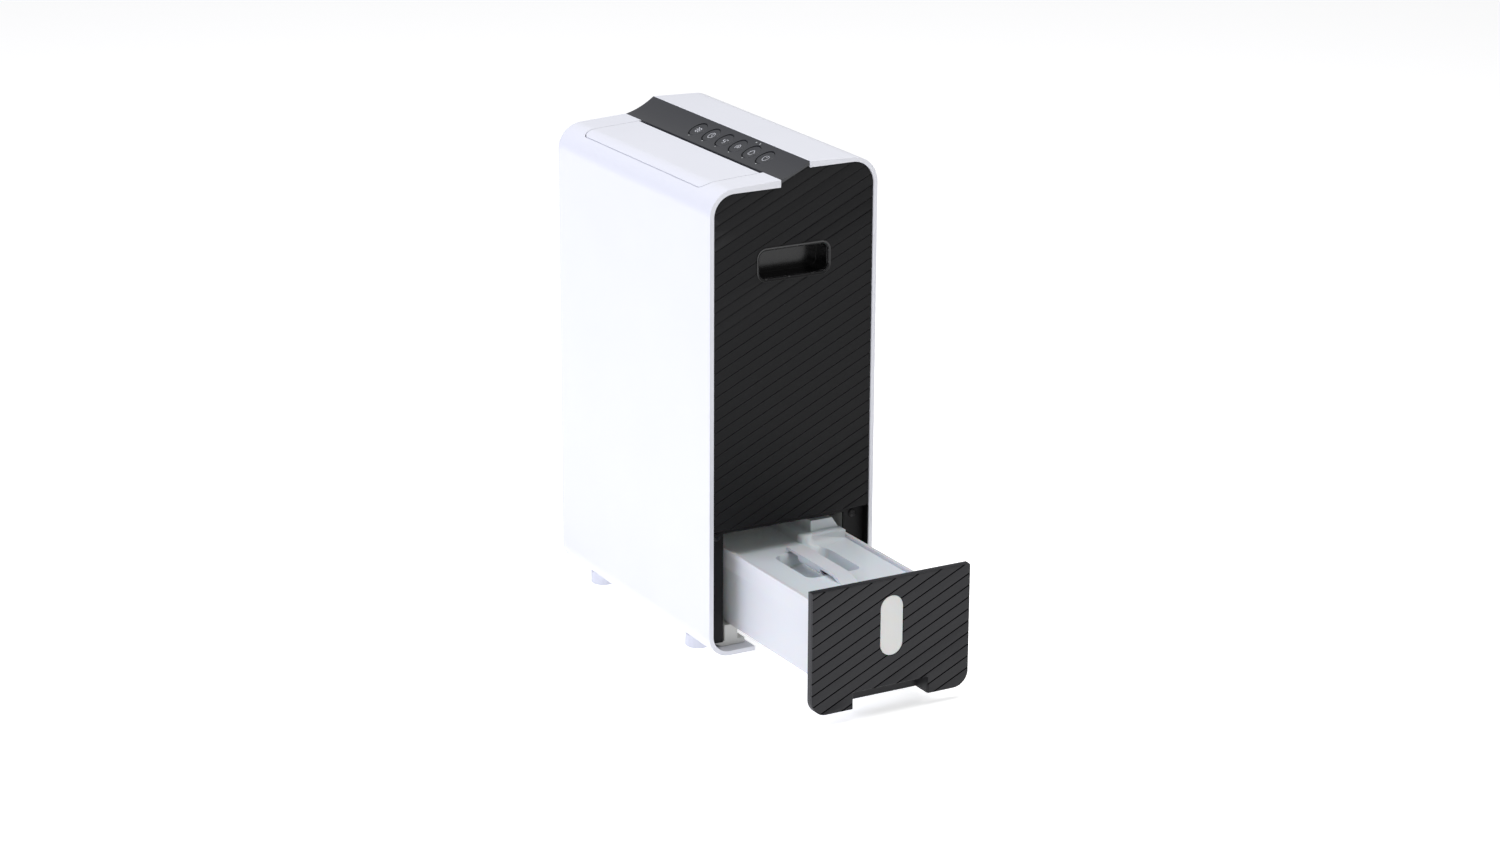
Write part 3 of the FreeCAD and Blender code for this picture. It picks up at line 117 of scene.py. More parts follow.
def metal(name, colour, roughness, scratch, depth, stretch=(1, 1, 1), tint=0.12, metallic=1.0):
    # metals: scratches drawn out along the way the surface was worked, and patchy tarnish
    made, tree, coords = startMaterial(name)
    turned = addNode(tree, "ShaderNodeMapping", {"Scale": stretch}, {"Vector": (coords, "Object")})
    lines = addNode(tree, "ShaderNodeTexNoise", {"Scale": 1 / scratch, "Detail": 4.0},
                    {"Vector": (turned, "Vector")})
    patch = addNode(tree, "ShaderNodeTexNoise", {"Scale": 22.0, "Detail": 3.0},
                    {"Vector": (coords, "Object")})
    shade = addNode(tree, "ShaderNodeMix", {"data_type": "RGBA", 6: linear(colour),
                                            7: shaded(colour, 1 - tint)},
                    {0: (patch, "Fac")})
    rough = addNode(tree, "ShaderNodeMapRange", {"To Min": roughness - 0.07, "To Max": roughness + 0.07},
                    {"Value": (lines, "Fac")})
    bump = addNode(tree, "ShaderNodeBump", {"Strength": 0.5, "Distance": depth}, {"Height": (lines, "Fac")})
    shader = addNode(tree, "ShaderNodeBsdfPrincipled", {"Metallic": metallic},
                     {"Base Color": (shade, 2), "Roughness": (rough, "Result"), "Normal": (bump, "Normal")})
    addNode(tree, "ShaderNodeOutputMaterial", None, {"Surface": (shader, "BSDF")})
    return made


def wovenNet(name, threadColour, holeColour, pitch):
    # plain-woven nylon net: light threads, the holes between them painted near-black as painted shade for the
    # dark inside behind the net, drawn at the real thread spacing
    made, tree, coords = startMaterial(name)
    waves = [addNode(tree, "ShaderNodeTexWave", {"bands_direction": way, "Scale": math.pi / (10 * pitch)},
                     {"Vector": (coords, "Object")}) for way in ("X", "Z")]
    net = addNode(tree, "ShaderNodeMath", {"operation": "MAXIMUM"},
                  {0: (waves[0], "Fac"), 1: (waves[1], "Fac")})
    shade = addNode(tree, "ShaderNodeMix", {"data_type": "RGBA", 6: linear(holeColour),
                                            7: linear(threadColour)},
                    {0: (net, "Value")})
    bump = addNode(tree, "ShaderNodeBump", {"Strength": 0.8, "Distance": 0.3 * mm},
                   {"Height": (net, "Value")})
    shader = addNode(tree, "ShaderNodeBsdfPrincipled", {"Roughness": 0.7},
                     {"Base Color": (shade, 2), "Normal": (bump, "Normal")})
    addNode(tree, "ShaderNodeOutputMaterial", None, {"Surface": (shader, "BSDF")})
    return made


finishes = {
    # ABS injection-moulded in a fine satin tool: soft highlights on a cool white
    "shellAbs": mouldedPlastic("shellAbs", "E2E3E9", 0.34, 0.8 * mm, 0.00001),
    # ABS moulded in a spark-eroded tool: a dull black with a fine grain
    "panelAbs": mouldedPlastic("panelAbs", "19191A", 0.46, 0.6 * mm, 0.00003, **{"Specular IOR Level": 0.14}),
    # the same plastic on the water tank's front, painted a little paler: painted light, for the lower panel
    # that catches more light
    "frontAbs": mouldedPlastic("frontAbs", "2D2D2F", 0.44, 0.6 * mm, 0.00003, **{"Specular IOR Level": 0.2}),
    # the tall panels' grooves: a slightly paler black, a painted highlight for the light their edges catch,
    # and a little glossier
    "ribAbs": mouldedPlastic("ribAbs", "202021", 0.35, 0.6 * mm, 0.00001, **{"Specular IOR Level": 0.25}),
    # the same black made near-black in the tank front's grooves: painted shade in the grooves, with a rougher
    # finish
    "grooveAbs": mouldedPlastic("grooveAbs", "060607", 0.7, 0.6 * mm, 0.00002,
                                **{"Specular IOR Level": 0.05}),
    # ABS moulded in a polished tool: black with a sharp shine
    "glossAbs": mouldedPlastic("glossAbs", "0A0A0B", 0.22, 1.0 * mm, 0.000004),
    # dark grey ABS, satin, with faint lighter and darker streaks along the strip painted into its colour: a
    # painted reflection
    "stripAbs": mouldedPlastic("stripAbs", "3A3B3E", 0.34, 0.5 * mm, 0.00001, tint=0.16,
                               stretch=(0.25, 6, 6)),
    # polypropylene, blown milky white: light goes a few millimetres into it
    "tankPp": mouldedPlastic("tankPp", "D4D6D9", 0.36, 1.4 * mm, 0.00001,
                             **{"Subsurface Weight": 0.25, "Subsurface Scale": 0.004}),
    "lidPp": mouldedPlastic("lidPp", "D9DFE2", 0.3, 1.4 * mm, 0.00001,
                            **{"Subsurface Weight": 0.25, "Subsurface Scale": 0.004}),
    # frosted polystyrene window
    "windowPs": mouldedPlastic("windowPs", "DCDCD9", 0.3, 1.0 * mm, 0.00001,
                               **{"Subsurface Weight": 0.3, "Subsurface Scale": 0.003}),
    # plain polypropylene of the inner mouldings
    "linerPp": mouldedPlastic("linerPp", "CDCDC9", 0.5, 1.2 * mm, 0.00002),
    "grilleAbs": mouldedPlastic("grilleAbs", "77797C", 0.45, 0.8 * mm, 0.00002),
    # thermoplastic rubber of the feet, and the black rubber of seals and plugs
    "footRubber": mouldedPlastic("footRubber", "D6D8E0", 0.55, 0.8 * mm, 0.00003),
    "blackRubber": mouldedPlastic("blackRubber", "161617", 0.7, 0.8 * mm, 0.00004),
    # pad-printed ink on the buttons
    "printInk": mouldedPlastic("printInk", "C4C5C8", 0.5, 0.5 * mm, 0.000005),
    # clear acrylic light guides, unlit
    "lampPmma": mouldedPlastic("lampPmma", "A9ACAA", 0.15, 1.0 * mm, 0.000004),
    # closed-cell polyethylene foam: pale and pitted
    "floatFoam": mouldedPlastic("floatFoam", "E2E0D8", 0.85, 2.0 * mm, 0.00015),
    # glass-fibre board with green solder resist
    "boardFr4": mouldedPlastic("boardFr4", "16542F", 0.4, 2.5 * mm, 0.00003, tint=0.3),
    # zinc-plated steel, drawn; black oxide screws; black powder-coated steel of the compressor
    "zincSteel": metal("zincSteel", "B8BABC", 0.34, 2.0 * mm, 0.00001, stretch=(1, 8, 1)),
    "blackScrew": metal("blackScrew", "141415", 0.35, 0.6 * mm, 0.00001, metallic=0.4),
    "canSteel": metal("canSteel", "17181A", 0.5, 1.2 * mm, 0.00004, metallic=0.0),
    # rolled aluminium fins and drawn copper tube with a little tarnish
    "finAluminium": metal("finAluminium", "C9CBCD", 0.4, 1.8 * mm, 0.00006, stretch=(1, 1, 0.1)),
    "tubeCopper": metal("tubeCopper", "B56B45", 0.3, 1.5 * mm, 0.00001, stretch=(1, 1, 0.2), tint=0.3),
    # the net's near-black hole colour is painted shade
    "filterNylon": wovenNet("filterNylon", "3C3E40", "0C0C0D", 1.2 * mm),
}
slotFinish = {"shell_white": "shellAbs", "panel_black": "panelAbs", "strip_black": "stripAbs",
              "button_black": "stripAbs", "tank_milky": "tankPp", "window_clear": "windowPs",
              "liner_white": "linerPp", "grille_grey": "grilleAbs", "foot_rubber": "footRubber",
              "rubber_black": "blackRubber", "steel_zinc": "zincSteel", "screw_black": "blackScrew",
              "compressor_black": "canSteel", "coil_aluminium": "finAluminium", "pipe_copper": "tubeCopper",
              "board_green": "boardFr4", "lamp_clear": "lampPmma", "foam_white": "floatFoam",
              "filter_mesh": "filterNylon"}
finishOf = {name: finishes[slotFinish[slot]] for name, slot in slotOf.items()}
finishOf["tank_lid"] = finishes["lidPp"]
# the tank front takes the paler copy of the black: painted light
finishOf["tank_front"] = finishes["frontAbs"]
for side in ("left", "right"):
    finishOf[f"handle_cup_{side}"] = finishes["glossAbs"]
for name, item in nodes.items():
    for place in item.material_slots:
        place.material = finishOf[name]
print("finishes made:", len(finishes))


# helpers that build and finish meshes

def newPiece(name, verts, faces, materials):
    mesh = bpy.data.meshes.new(name)
    mesh.from_pydata([tuple(v) for v in verts], [], faces)
    for each in materials:
        mesh.materials.append(finishes[each])
    made = bpy.data.objects.new(name, mesh)
    bpy.context.collection.objects.link(made)
    return made


def applied(piece, sharp=32):
    # swaps the piece's mesh for its evaluated one and drops the modifiers, then shades by angle
    ready = piece.evaluated_get(bpy.context.evaluated_depsgraph_get())
    mesh = bpy.data.meshes.new_from_object(ready)
    piece.modifiers.clear()
    old = piece.data
    piece.data = mesh
    bpy.data.meshes.remove(old)
    mesh.name = piece.name
    shadeByAngle(mesh, sharp)
    return piece


def shadeByAngle(mesh, sharp):
    mesh.polygons.foreach_set("use_smooth", [True] * len(mesh.polygons))
    mesh.set_sharp_from_angle(angle=math.radians(sharp))


def bevelled(piece, width, steps=2, limit=40, sharp=32):
    edge = piece.modifiers.new("edge", "BEVEL")
    edge.width = width
    edge.segments = steps
    edge.limit_method = "ANGLE"
    edge.angle_limit = math.radians(limit)
    edge.harden_normals = True
    return applied(piece, sharp)


def carved(piece, cutter, operation="DIFFERENCE"):
    # the faces that the cutter leaves take the cutter's own material
    carve = piece.modifiers.new("carve", "BOOLEAN")
    carve.object = cutter
    carve.operation = operation
    carve.solver = "EXACT"
    carve.material_mode = "TRANSFER"
    applied(piece)
    bpy.data.objects.remove(cutter)
    return piece


def settle(piece, body, slot, *replaced, sharp=32):
    # normals weighted by face area keep the large faces even beside their small edges
    shadeByAngle(piece.data, sharp)
    even = piece.modifiers.new("even", "WEIGHTED_NORMAL")
    even.weight = 100
    even.keep_sharp = True
    ready = piece.evaluated_get(bpy.context.evaluated_depsgraph_get())
    mesh = bpy.data.meshes.new_from_object(ready)
    piece.modifiers.clear()
    piece.data = mesh
    mesh.name = piece.name
    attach(piece, body)
    if replaced:
        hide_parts(*replaced)
    return piece


def roundOutline(corners, steps=14):
    # a closed outline of (u, v, radius) corners, each radius drawn as an arc
    points = []
    count = len(corners)
    for i, (u, v, radius) in enumerate(corners):
        here = Vector((u, v))
        if radius <= 0:
            points.append(here)
            continue
        before = Vector(corners[i - 1][:2]) - here
        after = Vector(corners[(i + 1) % count][:2]) - here
        half = before.angle(after) / 2
        setback = radius / math.tan(half)
        start = here + before.normalized() * setback
        end = here + after.normalized() * setback
        centre = here + (before.normalized() + after.normalized()).normalized() * (radius / math.sin(half))
        first = start - centre
        turn = first.angle_signed(end - centre)
        for k in range(steps + 1):
            swing = -turn * k / steps
            points.append(centre + Vector((first.x * math.cos(swing) - first.y * math.sin(swing),
                                           first.x * math.sin(swing) + first.y * math.cos(swing))))
    return points


def rectangle(u0, v0, u1, v1, radius=0, steps=8):
    # four corners, from one to the one across from it
    return roundOutline([(u0, v0, radius), (u1, v0, radius), (u1, v1, radius), (u0, v1, radius)], steps)


def prism(name, outline, low, high, axis, materials):
    # an outline drawn square to an axis and pushed along it, as a closed solid
    def at(p, depth):
        return {"x": (depth, p.x, p.y), "y": (p.x, depth, p.y), "z": (p.x, p.y, depth)}[axis]
    count = len(outline)
    verts = [at(p, low) for p in outline] + [at(p, high) for p in outline]
    faces = [tuple(range(count)), tuple(range(2 * count - 1, count - 1, -1))]
    faces += [(i, i + count, (i + 1) % count + count, (i + 1) % count) for i in range(count)]
    made = newPiece(name, verts, faces, materials)
    outward(made.data)
    return made


def outward(mesh):
    work = bmesh.new()
    work.from_mesh(mesh)
    bmesh.ops.remove_doubles(work, verts=work.verts, dist=1e-6)
    bmesh.ops.recalc_face_normals(work, faces=work.faces)
    work.to_mesh(mesh)
    work.free()


def joined(name, pieces):
    # several pieces as one, with their materials kept apart
    work = bmesh.new()
    made = bpy.data.meshes.new(name)
    for item in pieces:
        for each in item.data.materials:
            if each.name not in made.materials:
                made.materials.append(each)
    for item in pieces:
        start = len(work.faces)
        work.from_mesh(item.data)
        work.faces.ensure_lookup_table()
        for face in work.faces[start:]:
            face.material_index = made.materials.find(item.data.materials[face.material_index].name)
    work.to_mesh(made)
    work.free()
    for item in pieces:
        bpy.data.objects.remove(item)
    whole = bpy.data.objects.new(name, made)
    bpy.context.collection.objects.link(whole)
    return whole


def copyOf(node, name, cuts=(), joinFlats=True):
    # a node's mesh as a new piece: doubles merged and flats joined
    # a cut (axis, level, side) drops what is past that level
    mesh = nodes[node].data.copy()
    mesh.name = name
    work = bmesh.new()
    work.from_mesh(mesh)
    bmesh.ops.remove_doubles(work, verts=work.verts, dist=2e-6)
    for axis, level, side in cuts:
        normal = Vector([side if "xyz"[k] == axis else 0.0 for k in range(3)])
        bmesh.ops.bisect_plane(work, geom=work.verts[:] + work.edges[:] + work.faces[:], dist=1e-7,
                               plane_co=normal * level * side, plane_no=normal, clear_outer=True)
    if joinFlats:
        bmesh.ops.dissolve_limit(work, angle_limit=math.radians(0.6), verts=work.verts, edges=work.edges)
    work.to_mesh(mesh)
    work.free()
    made = bpy.data.objects.new(name, mesh)
    bpy.context.collection.objects.link(made)
    shadeByAngle(mesh, 32)
    return made


# where the main faces are, from the frame
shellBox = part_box("front_shell")
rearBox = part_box("rear_shell")
leftX, rightX = shellBox[0][0], shellBox[1][0]
middleX = (leftX + rightX) / 2
frontY, backY = shellBox[0][1], rearBox[1][1]
through = 20 * mm  # how far a cutter reaches to each side of the wall it opens
beyond = 200 * mm  # half the size of a cutter that must pass the whole object

case = {"rim": 5 * mm, "low": 7 * mm, "flange": 44.5 * mm, "edgeY": -16.5 * mm, "edgeZ": 519 * mm,
        "topRound": 28.5 * mm, "lowRound": 24 * mm, "innerZ": 511 * mm, "slope": 3.0,
        "rearEdgeY": 17.9 * mm, "rearEdgeZ": 535 * mm, "rearRound": 30 * mm, "rearInnerZ": 528 * mm,
        "rearSlope": 2.0, "softEdge": 1.0 * mm}
flap = {"half": 134 * mm, "gap": 0.9 * mm, "front": -88.4 * mm, "back": -20.5 * mm, "corner": 9 * mm,
        "thick": 3 * mm, "drop": 7.3 * mm, "softEdge": 0.7 * mm, "armTop": 514.5 * mm, "armFront": -34 * mm,
        "cutBack": 50 * mm, "cutLow": 480 * mm, "cutHigh": 560 * mm}


def frontSection(wall, underFront, underEnd):
    frontZ = case["edgeZ"] - math.tan(math.radians(case["slope"])) * (case["edgeY"] - frontY)
    inner = frontY + wall
    return roundOutline([
        (-case["flange"], case["low"], 0), (frontY, case["low"], case["lowRound"]),
        (frontY, frontZ, case["topRound"]), (case["edgeY"], case["edgeZ"], 0),
        (case["edgeY"], underEnd, 0), (inner, underFront, case["topRound"] - wall),
        (inner, case["low"] + wall, case["lowRound"] - wall), (-case["flange"], case["low"] + wall, 0)], 18)


def flapPlan(name, gap, materials):
    half = flap["half"] + gap
    near = flap["front"] - gap
    return prism(name, roundOutline([(middleX - half, near, flap["corner"]),
                                     (middleX + half, near, flap["corner"]),
                                     (middleX + half, flap["cutBack"], 0),
                                     (middleX - half, flap["cutBack"], 0)], 8),
                 flap["cutLow"], flap["cutHigh"], "z", materials)


frontShell = prism("frontShell", frontSection(case["rim"], case["innerZ"], case["innerZ"]),
                   leftX, rightX, "x", ["shellAbs"])
carved(frontShell, flapPlan("flapHole", flap["gap"], ["shellAbs"]))
bevelled(frontShell, case["softEdge"], 3)
settle(frontShell, "cabinet", "shell_white", "front_shell")

rearZ = case["rearEdgeZ"] - math.tan(math.radians(case["rearSlope"])) * (backY - case["rearEdgeY"])
rearShell = prism("rearShell", roundOutline([
    (case["flange"], case["low"], 0), (backY, case["low"], case["lowRound"]),
    (backY, rearZ, case["rearRound"]),
    (case["rearEdgeY"], case["rearEdgeZ"], 0), (case["rearEdgeY"], case["rearInnerZ"], 0),
    (backY - case["rim"], case["rearInnerZ"], case["rearRound"] - case["rim"]),
    (backY - case["rim"], case["low"] + case["rim"], case["lowRound"] - case["rim"]),
    (case["flange"], case["low"] + case["rim"], 0)], 18), leftX, rightX, "x", ["shellAbs"])
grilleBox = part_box("rear_grille")
intakeGap = 0.8 * mm
intake = [grilleBox[k][axis] + s * intakeGap for k, s in ((0, -1), (1, 1)) for axis in (0, 2)]
carved(rearShell, prism("intakeHole", rectangle(*intake), backY - through, backY + through, "y",
                        ["shellAbs"]))
for node, radius in (("drain_spout", 9 * mm), ("cable_gland", 8 * mm)):
    spot = [(a + b) / 2 for a, b in zip(*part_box(node))]
    ring = [Vector((spot[0] + radius * math.cos(t), spot[2] + radius * math.sin(t)))
            for t in (2 * math.pi * k / 40 for k in range(40))]
    carved(rearShell, prism(node + "Hole", ring, backY - through, backY + through, "y", ["shellAbs"]))
bevelled(rearShell, case["softEdge"], 3)
settle(rearShell, "cabinet", "shell_white", "rear_shell")

# the flap: the same skin as the front shell, cut to the opening, over the node's own arms and pins
flapSkin = prism("flapSkin", frontSection(flap["thick"], case["edgeZ"] - flap["drop"],
                                          case["edgeZ"] - flap["thick"]),
                 leftX, rightX, "x", ["shellAbs"])
carved(flapSkin, flapPlan("flapLimit", 0, ["shellAbs"]), "INTERSECT")
trimBox = prism("flapTrim", rectangle(leftX - through, flap["back"], rightX + through, backY),
                flap["cutLow"], flap["cutHigh"], "z", ["shellAbs"])
carved(flapSkin, trimBox)
bevelled(flapSkin, flap["softEdge"], 3)
flapArms = copyOf("louvre_flap", "flapArms", [("z", flap["armTop"], 1), ("y", flap["armFront"], -1)])
louvreFlap = joined("louvreFlap", [flapSkin, flapArms])
settle(louvreFlap, "louvre", "shell_white", "louvre_flap")
print("shells and flap made")

# the ribbed panels: plates with soft edges, their slanting grooves cut by one comb each
grooves = {"rise": 13.0 * mm, "wide": 1.5 * mm, "deep": 0.8 * mm, "tilt": 25.2, "first": 135.6 * mm,
           "skin": 3 * mm}
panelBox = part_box("right_side_panel")
faceX = panelBox[1][0]
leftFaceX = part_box("left_side_panel")[0][0]
panelHalf = panelBox[1][1]
hand = {"half": 41 * mm, "high": 15 * mm, "z": 430.3 * mm, "round": 8 * mm, "ring": 3.2 * mm,
        "proud": 0.5 * mm, "sunk": 2.5 * mm, "cut": 6 * mm}
frontToMiddle = 100 * mm  # the grooves are drawn over the case's full depth
rampRise = (case["rearEdgeZ"] - case["edgeZ"]) / (case["rearEdgeY"] - case["edgeY"])
stripThick = 4.3 * mm


def grooveComb(name, face, inward, lowest, highest, finish):
    lift = math.tan(math.radians(grooves["tilt"])) * 2 * frontToMiddle
    first = math.floor((lowest - lift - grooves["first"]) / grooves["rise"])
    last = math.ceil((highest - grooves["first"]) / grooves["rise"])
    verts, faces = [], []
    for k in range(first, last + 1):
        base = grooves["first"] + k * grooves["rise"]
        wide = grooves["wide"]
        section = [(-frontToMiddle, base), (frontToMiddle, base + lift),
                   (frontToMiddle, base + lift + wide), (-frontToMiddle, base + wide)]
        start = len(verts)
        verts += [(face + inward * grooves["deep"], y, z) for y, z in section]
        verts += [(face - inward * 2 * mm, y, z) for y, z in section]
        faces += [tuple(start + i for i in ring) for ring in
                  ((0, 1, 2, 3), (7, 6, 5, 4), (0, 4, 5, 1), (1, 5, 6, 2), (2, 6, 7, 3), (3, 7, 4, 0))]
    comb = newPiece(name, verts, faces, [finish])
    outward(comb.data)
    return comb


def ribbedPlate(name, outline, face, inward, lowest, highest, holes=(), edge=0.8 * mm, skin=None,
                finish="panelAbs", cutFinish="ribAbs"):
    back = face + inward * (skin or grooves["skin"])
    plate = prism(name, outline, min(face, back), max(face, back), "x", [finish])
    for hole in holes:
        carved(plate, hole)
    bevelled(plate, edge, 3)
    # the comb's faces take cutFinish: a paler black as painted highlight in the tall panels' grooves, a
    # near-black as painted shade in the tank front's grooves
    carved(plate, grooveComb(name + "Comb", face, inward, lowest, highest, cutFinish))
    return plate


def upperCorners(lower):
    gap = 0.3 * mm
    outer = panelHalf
    top = case["rearInnerZ"] - gap
    frontTop = case["innerZ"] - gap
    rearRound = case["rearRound"] - case["rim"] + gap
    frontRound = case["topRound"] - case["rim"] + gap
    return lower + [
        (outer, top, rearRound), (case["rearEdgeY"] - gap, top, 0),
        (case["rearEdgeY"] - gap, case["rearEdgeZ"] - stripThick - gap - gap * rampRise, 0),
        (case["edgeY"] + gap, case["edgeZ"] - stripThick - gap + gap * rampRise, 0),
        (case["edgeY"] + gap, frontTop, 0), (-outer, frontTop, frontRound)]


def handHole(name, face):
    return prism(name, rectangle(-hand["half"], hand["z"] - hand["high"],
                                 hand["half"], hand["z"] + hand["high"], hand["round"]),
                 face - hand["cut"], face + hand["cut"], "x", ["glossAbs"])


ribLow = 147.7 * mm
rightUpper = ribbedPlate("rightRibs", roundOutline(upperCorners([(-panelHalf, ribLow, 0),
                                                                 (panelHalf, ribLow, 0)])),
                         faceX, -1, ribLow, case["rearInnerZ"], [handHole("rightHand", faceX)])
rightLower = copyOf("right_side_panel", "rightFrame")
behind = faceX - grooves["skin"] - 0.05 * mm
carved(rightLower, prism("plateTrim", rectangle(-beyond, ribLow, beyond, case["rearEdgeZ"] + through),
                         behind, faceX + through, "x", ["panelAbs"]))
bevelled(rightLower, 0.4 * mm, 2)
settle(joined("rightPanel", [rightUpper, rightLower]), "cabinet", "panel_black", "right_side_panel")

lowEdge = case["low"] + case["rim"] + 0.3 * mm
lowRound = case["lowRound"] - case["rim"] + 0.3 * mm
leftPanel = ribbedPlate("leftPanel", roundOutline(upperCorners([(-panelHalf, lowEdge, lowRound),
                                                                (panelHalf, lowEdge, lowRound)])),
                        leftFaceX, 1, lowEdge, case["rearInnerZ"], [handHole("leftHand", leftFaceX)])
settle(leftPanel, "cabinet", "panel_black", "left_side_panel")

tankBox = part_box("tank_front")
front = {"half": 93.6 * mm, "low": 12.3 * mm, "top": 145.9 * mm, "round": 17.2 * mm, "notchHalf": 45 * mm,
         "notchTop": 30.6 * mm, "skin": 2.6 * mm, "windowHalf": 13.3 * mm, "windowHigh": 64.8 * mm,
         "windowZ": 95.6 * mm, "windowRound": 13.3 * 0.998 * mm, "cut": 5 * mm,
         "softEdge": 1.3 * mm}
tankFaceX = tankBox[1][0]
# the tank's front: the paler copy of the black, which is painted light, with painted shade in its grooves
tankRibs = ribbedPlate("tankRibs", roundOutline([
    (-front["half"], front["low"], front["round"]), (-front["notchHalf"], front["low"], 0),
    (-front["notchHalf"], front["notchTop"], 0), (front["notchHalf"], front["notchTop"], 0),
    (front["notchHalf"], front["low"], 0), (front["half"], front["low"], front["round"]),
    (front["half"], front["top"], 0), (-front["half"], front["top"], 0)]), tankFaceX, -1,
    front["low"], front["top"],
    [prism("windowHole", rectangle(-front["windowHalf"], front["windowZ"] - front["windowHigh"] / 2,
                                   front["windowHalf"], front["windowZ"] + front["windowHigh"] / 2,
                                   front["windowRound"], 12),
           tankFaceX - front["cut"], tankFaceX + front["cut"], "x", ["panelAbs"])],
    edge=front["softEdge"], skin=front["skin"],
    finish="frontAbs", cutFinish="grooveAbs")
tankBack = copyOf("tank_front", "tankBack", [("x", tankFaceX - front["skin"], 1)])
settle(joined("tankPanel", [tankRibs, tankBack]), "tank", "panel_black", "tank_front")
print("ribbed panels made")

# hand recess: a polished rounded lip round each mouth, standing a little over the ribs
for side, face, inward in (("right", faceX, -1), ("left", leftFaceX, 1)):
    rings = []
    for k in range(9):
        angle = math.radians(90 * k / 8)
        out = hand["ring"] * (1 - math.cos(angle))
        proud = hand["proud"] * math.sin(angle) - (1 - math.sin(angle)) * hand["sunk"]
        depth = face - inward * proud
        wide, high = hand["half"] + out, hand["high"] + out
        loop = rectangle(-wide, hand["z"] - high, wide, hand["z"] + high, hand["round"] + out)
        rings.append([(depth, p.x, p.y) for p in loop])
    outerLoop = [(face + inward * 0.3 * mm, y, z) for _, y, z in rings[-1]]
    rings.append(outerLoop)
    count = len(rings[0])
    faces = [(a * count + i, a * count + (i + 1) % count, (a + 1) * count + (i + 1) % count,
              (a + 1) * count + i)
             for a in range(len(rings) - 1) for i in range(count)]
    lip = newPiece(f"{side}HandLip", [v for loop in rings for v in loop], faces, ["glossAbs"])
    outward(lip.data)
    centre = Vector((face, 0, hand["z"]))
    if lip.data.polygons[0].normal.dot(Vector(lip.data.polygons[0].center) - centre) > 0:
        lip.data.flip_normals()
    shadeByAngle(lip.data, 40)
    settle(lip, "cabinet", "panel_black")
print("hand recesses made")

# parts that keep the node's own form: (node, width of its soft edges in mm, or 0 for crisp ones)
softened = [("control_panel", 0.25), ("tank_bucket", 0), ("tank_lid", 0), ("tank_handle", 1.2),
            ("tank_window", 0.9), ("rear_grille", 0.5), ("foot_front_left", 1.5), ("foot_front_right", 1.5),
            ("foot_rear_left", 1.5), ("foot_rear_right", 1.5), ("float_block", 1.0), ("drain_plug", 0.8),
            ("cable_gland", 1.0), ("fan_housing", 0.8), ("mid_deck", 0.5), ("base_tray", 0.5),
            ("bay_liner", 0.4), ("bay_wall", 0.4), ("capacitor", 1.0), ("handle_cup_right", 0.4),
            ("handle_cup_left", 0.4), ("outlet_grille", 0.3), ("filter_frame", 0.5)]
softened += [(f"button_{i}", 0.35) for i in range(1, 7)]
for node, edge in softened:
    piece = copyOf(node, "soft_" + node, joinFlats=edge > 0)
    if edge:
        bevelled(piece, edge * mm, 2, 50, 30)
    else:
        shadeByAngle(piece.data, 30)
    settle(piece, bodyOf[node], slotOf[node], node, sharp=32 if edge else 12)
print("soft edges made:", len(softened))

# button marks: thin strokes of ink laid on the dished caps
marks = {"slope": 24.94, "midY": 0.7 * mm, "midZ": 527 * mm, "along": 1.4 * mm, "wide": 0.75 * mm,
         "lift": 0.06 * mm}
slope = math.radians(marks["slope"])
alongRamp = Vector((0, math.cos(slope), math.sin(slope)))
offRamp = Vector((0, -math.sin(slope), math.cos(slope)))


def arc(radius, start, end, steps=24, cu=0.0, cv=0.0):
    turns = [math.radians(start + (end - start) * k / steps) for k in range(steps + 1)]
    return [(cu + radius * math.cos(t), cv + radius * math.sin(t)) for t in turns]


def wave(level):
    return [(-4.2 + 8.4 * k / 20, level + 1.1 * math.sin(k / 20 * 4 * math.pi)) for k in range(21)]


buttonMarks = [
    [wave(2.6), wave(0), wave(-2.6)],
    [arc(4.4, 0, 360), [(0, 3.0), (0, 0), (2.0, -1.2)]],
    [arc(2.1, 20 + 120 * k, 200 + 120 * k, 12, 2.1 * math.cos(math.radians(20 + 120 * k)),
         2.1 * math.sin(math.radians(20 + 120 * k))) for k in range(3)],
    [[(0.22 * k * math.cos(0.55 * k), 0.22 * k * math.sin(0.55 * k)) for k in range(20)]],
    [[(-4.4, 0), (0, 4.0), (4.4, 0)], [(-3.2, 0.6), (-3.2, -3.8), (3.2, -3.8), (3.2, 0.6)]],
    [arc(4.2, 120, 420), [(0, 4.9), (0, 0.8)]],
]
for i, strokes in enumerate(buttonMarks, start=1):
    cap = bpy.data.objects[f"soft_button_{i}"]
    low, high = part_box(f"button_{i}")
    centre = Vector(((low.x + high.x) / 2, marks["midY"], marks["midZ"])) + alongRamp * marks["along"]

    def laid(u, v):
        # the point of the cap's top under (u, v), a hair above it
        start = centre + Vector((u * mm, 0, 0)) + alongRamp * v * mm + offRamp * 10 * mm
        hit, spot, _, _ = cap.ray_cast(start, -offRamp)
        return spot + offRamp * marks["lift"] if hit else start - offRamp * 12 * mm

    verts, faces = [], []
    for stroke in strokes:
        start = len(verts)
        half = marks["wide"] / mm / 2
        for k, here in enumerate(stroke):
            before, after = stroke[max(k - 1, 0)], stroke[min(k + 1, len(stroke) - 1)]
            way = Vector((after[0] - before[0], after[1] - before[1])).normalized()
            for s in (half, -half):
                verts.append(laid(here[0] - way.y * s, here[1] + way.x * s))
        faces += [(start + 2 * k, start + 2 * k + 1, start + 2 * k + 3, start + 2 * k + 2)
                  for k in range(len(stroke) - 1)]
    icon = newPiece(f"buttonMark{i}", verts, faces, ["printInk"])
    if icon.data.polygons[0].normal.dot(offRamp) < 0:
        icon.data.flip_normals()
    settle(icon, f"button_{i}_cap", "button_black")
print("button marks made")


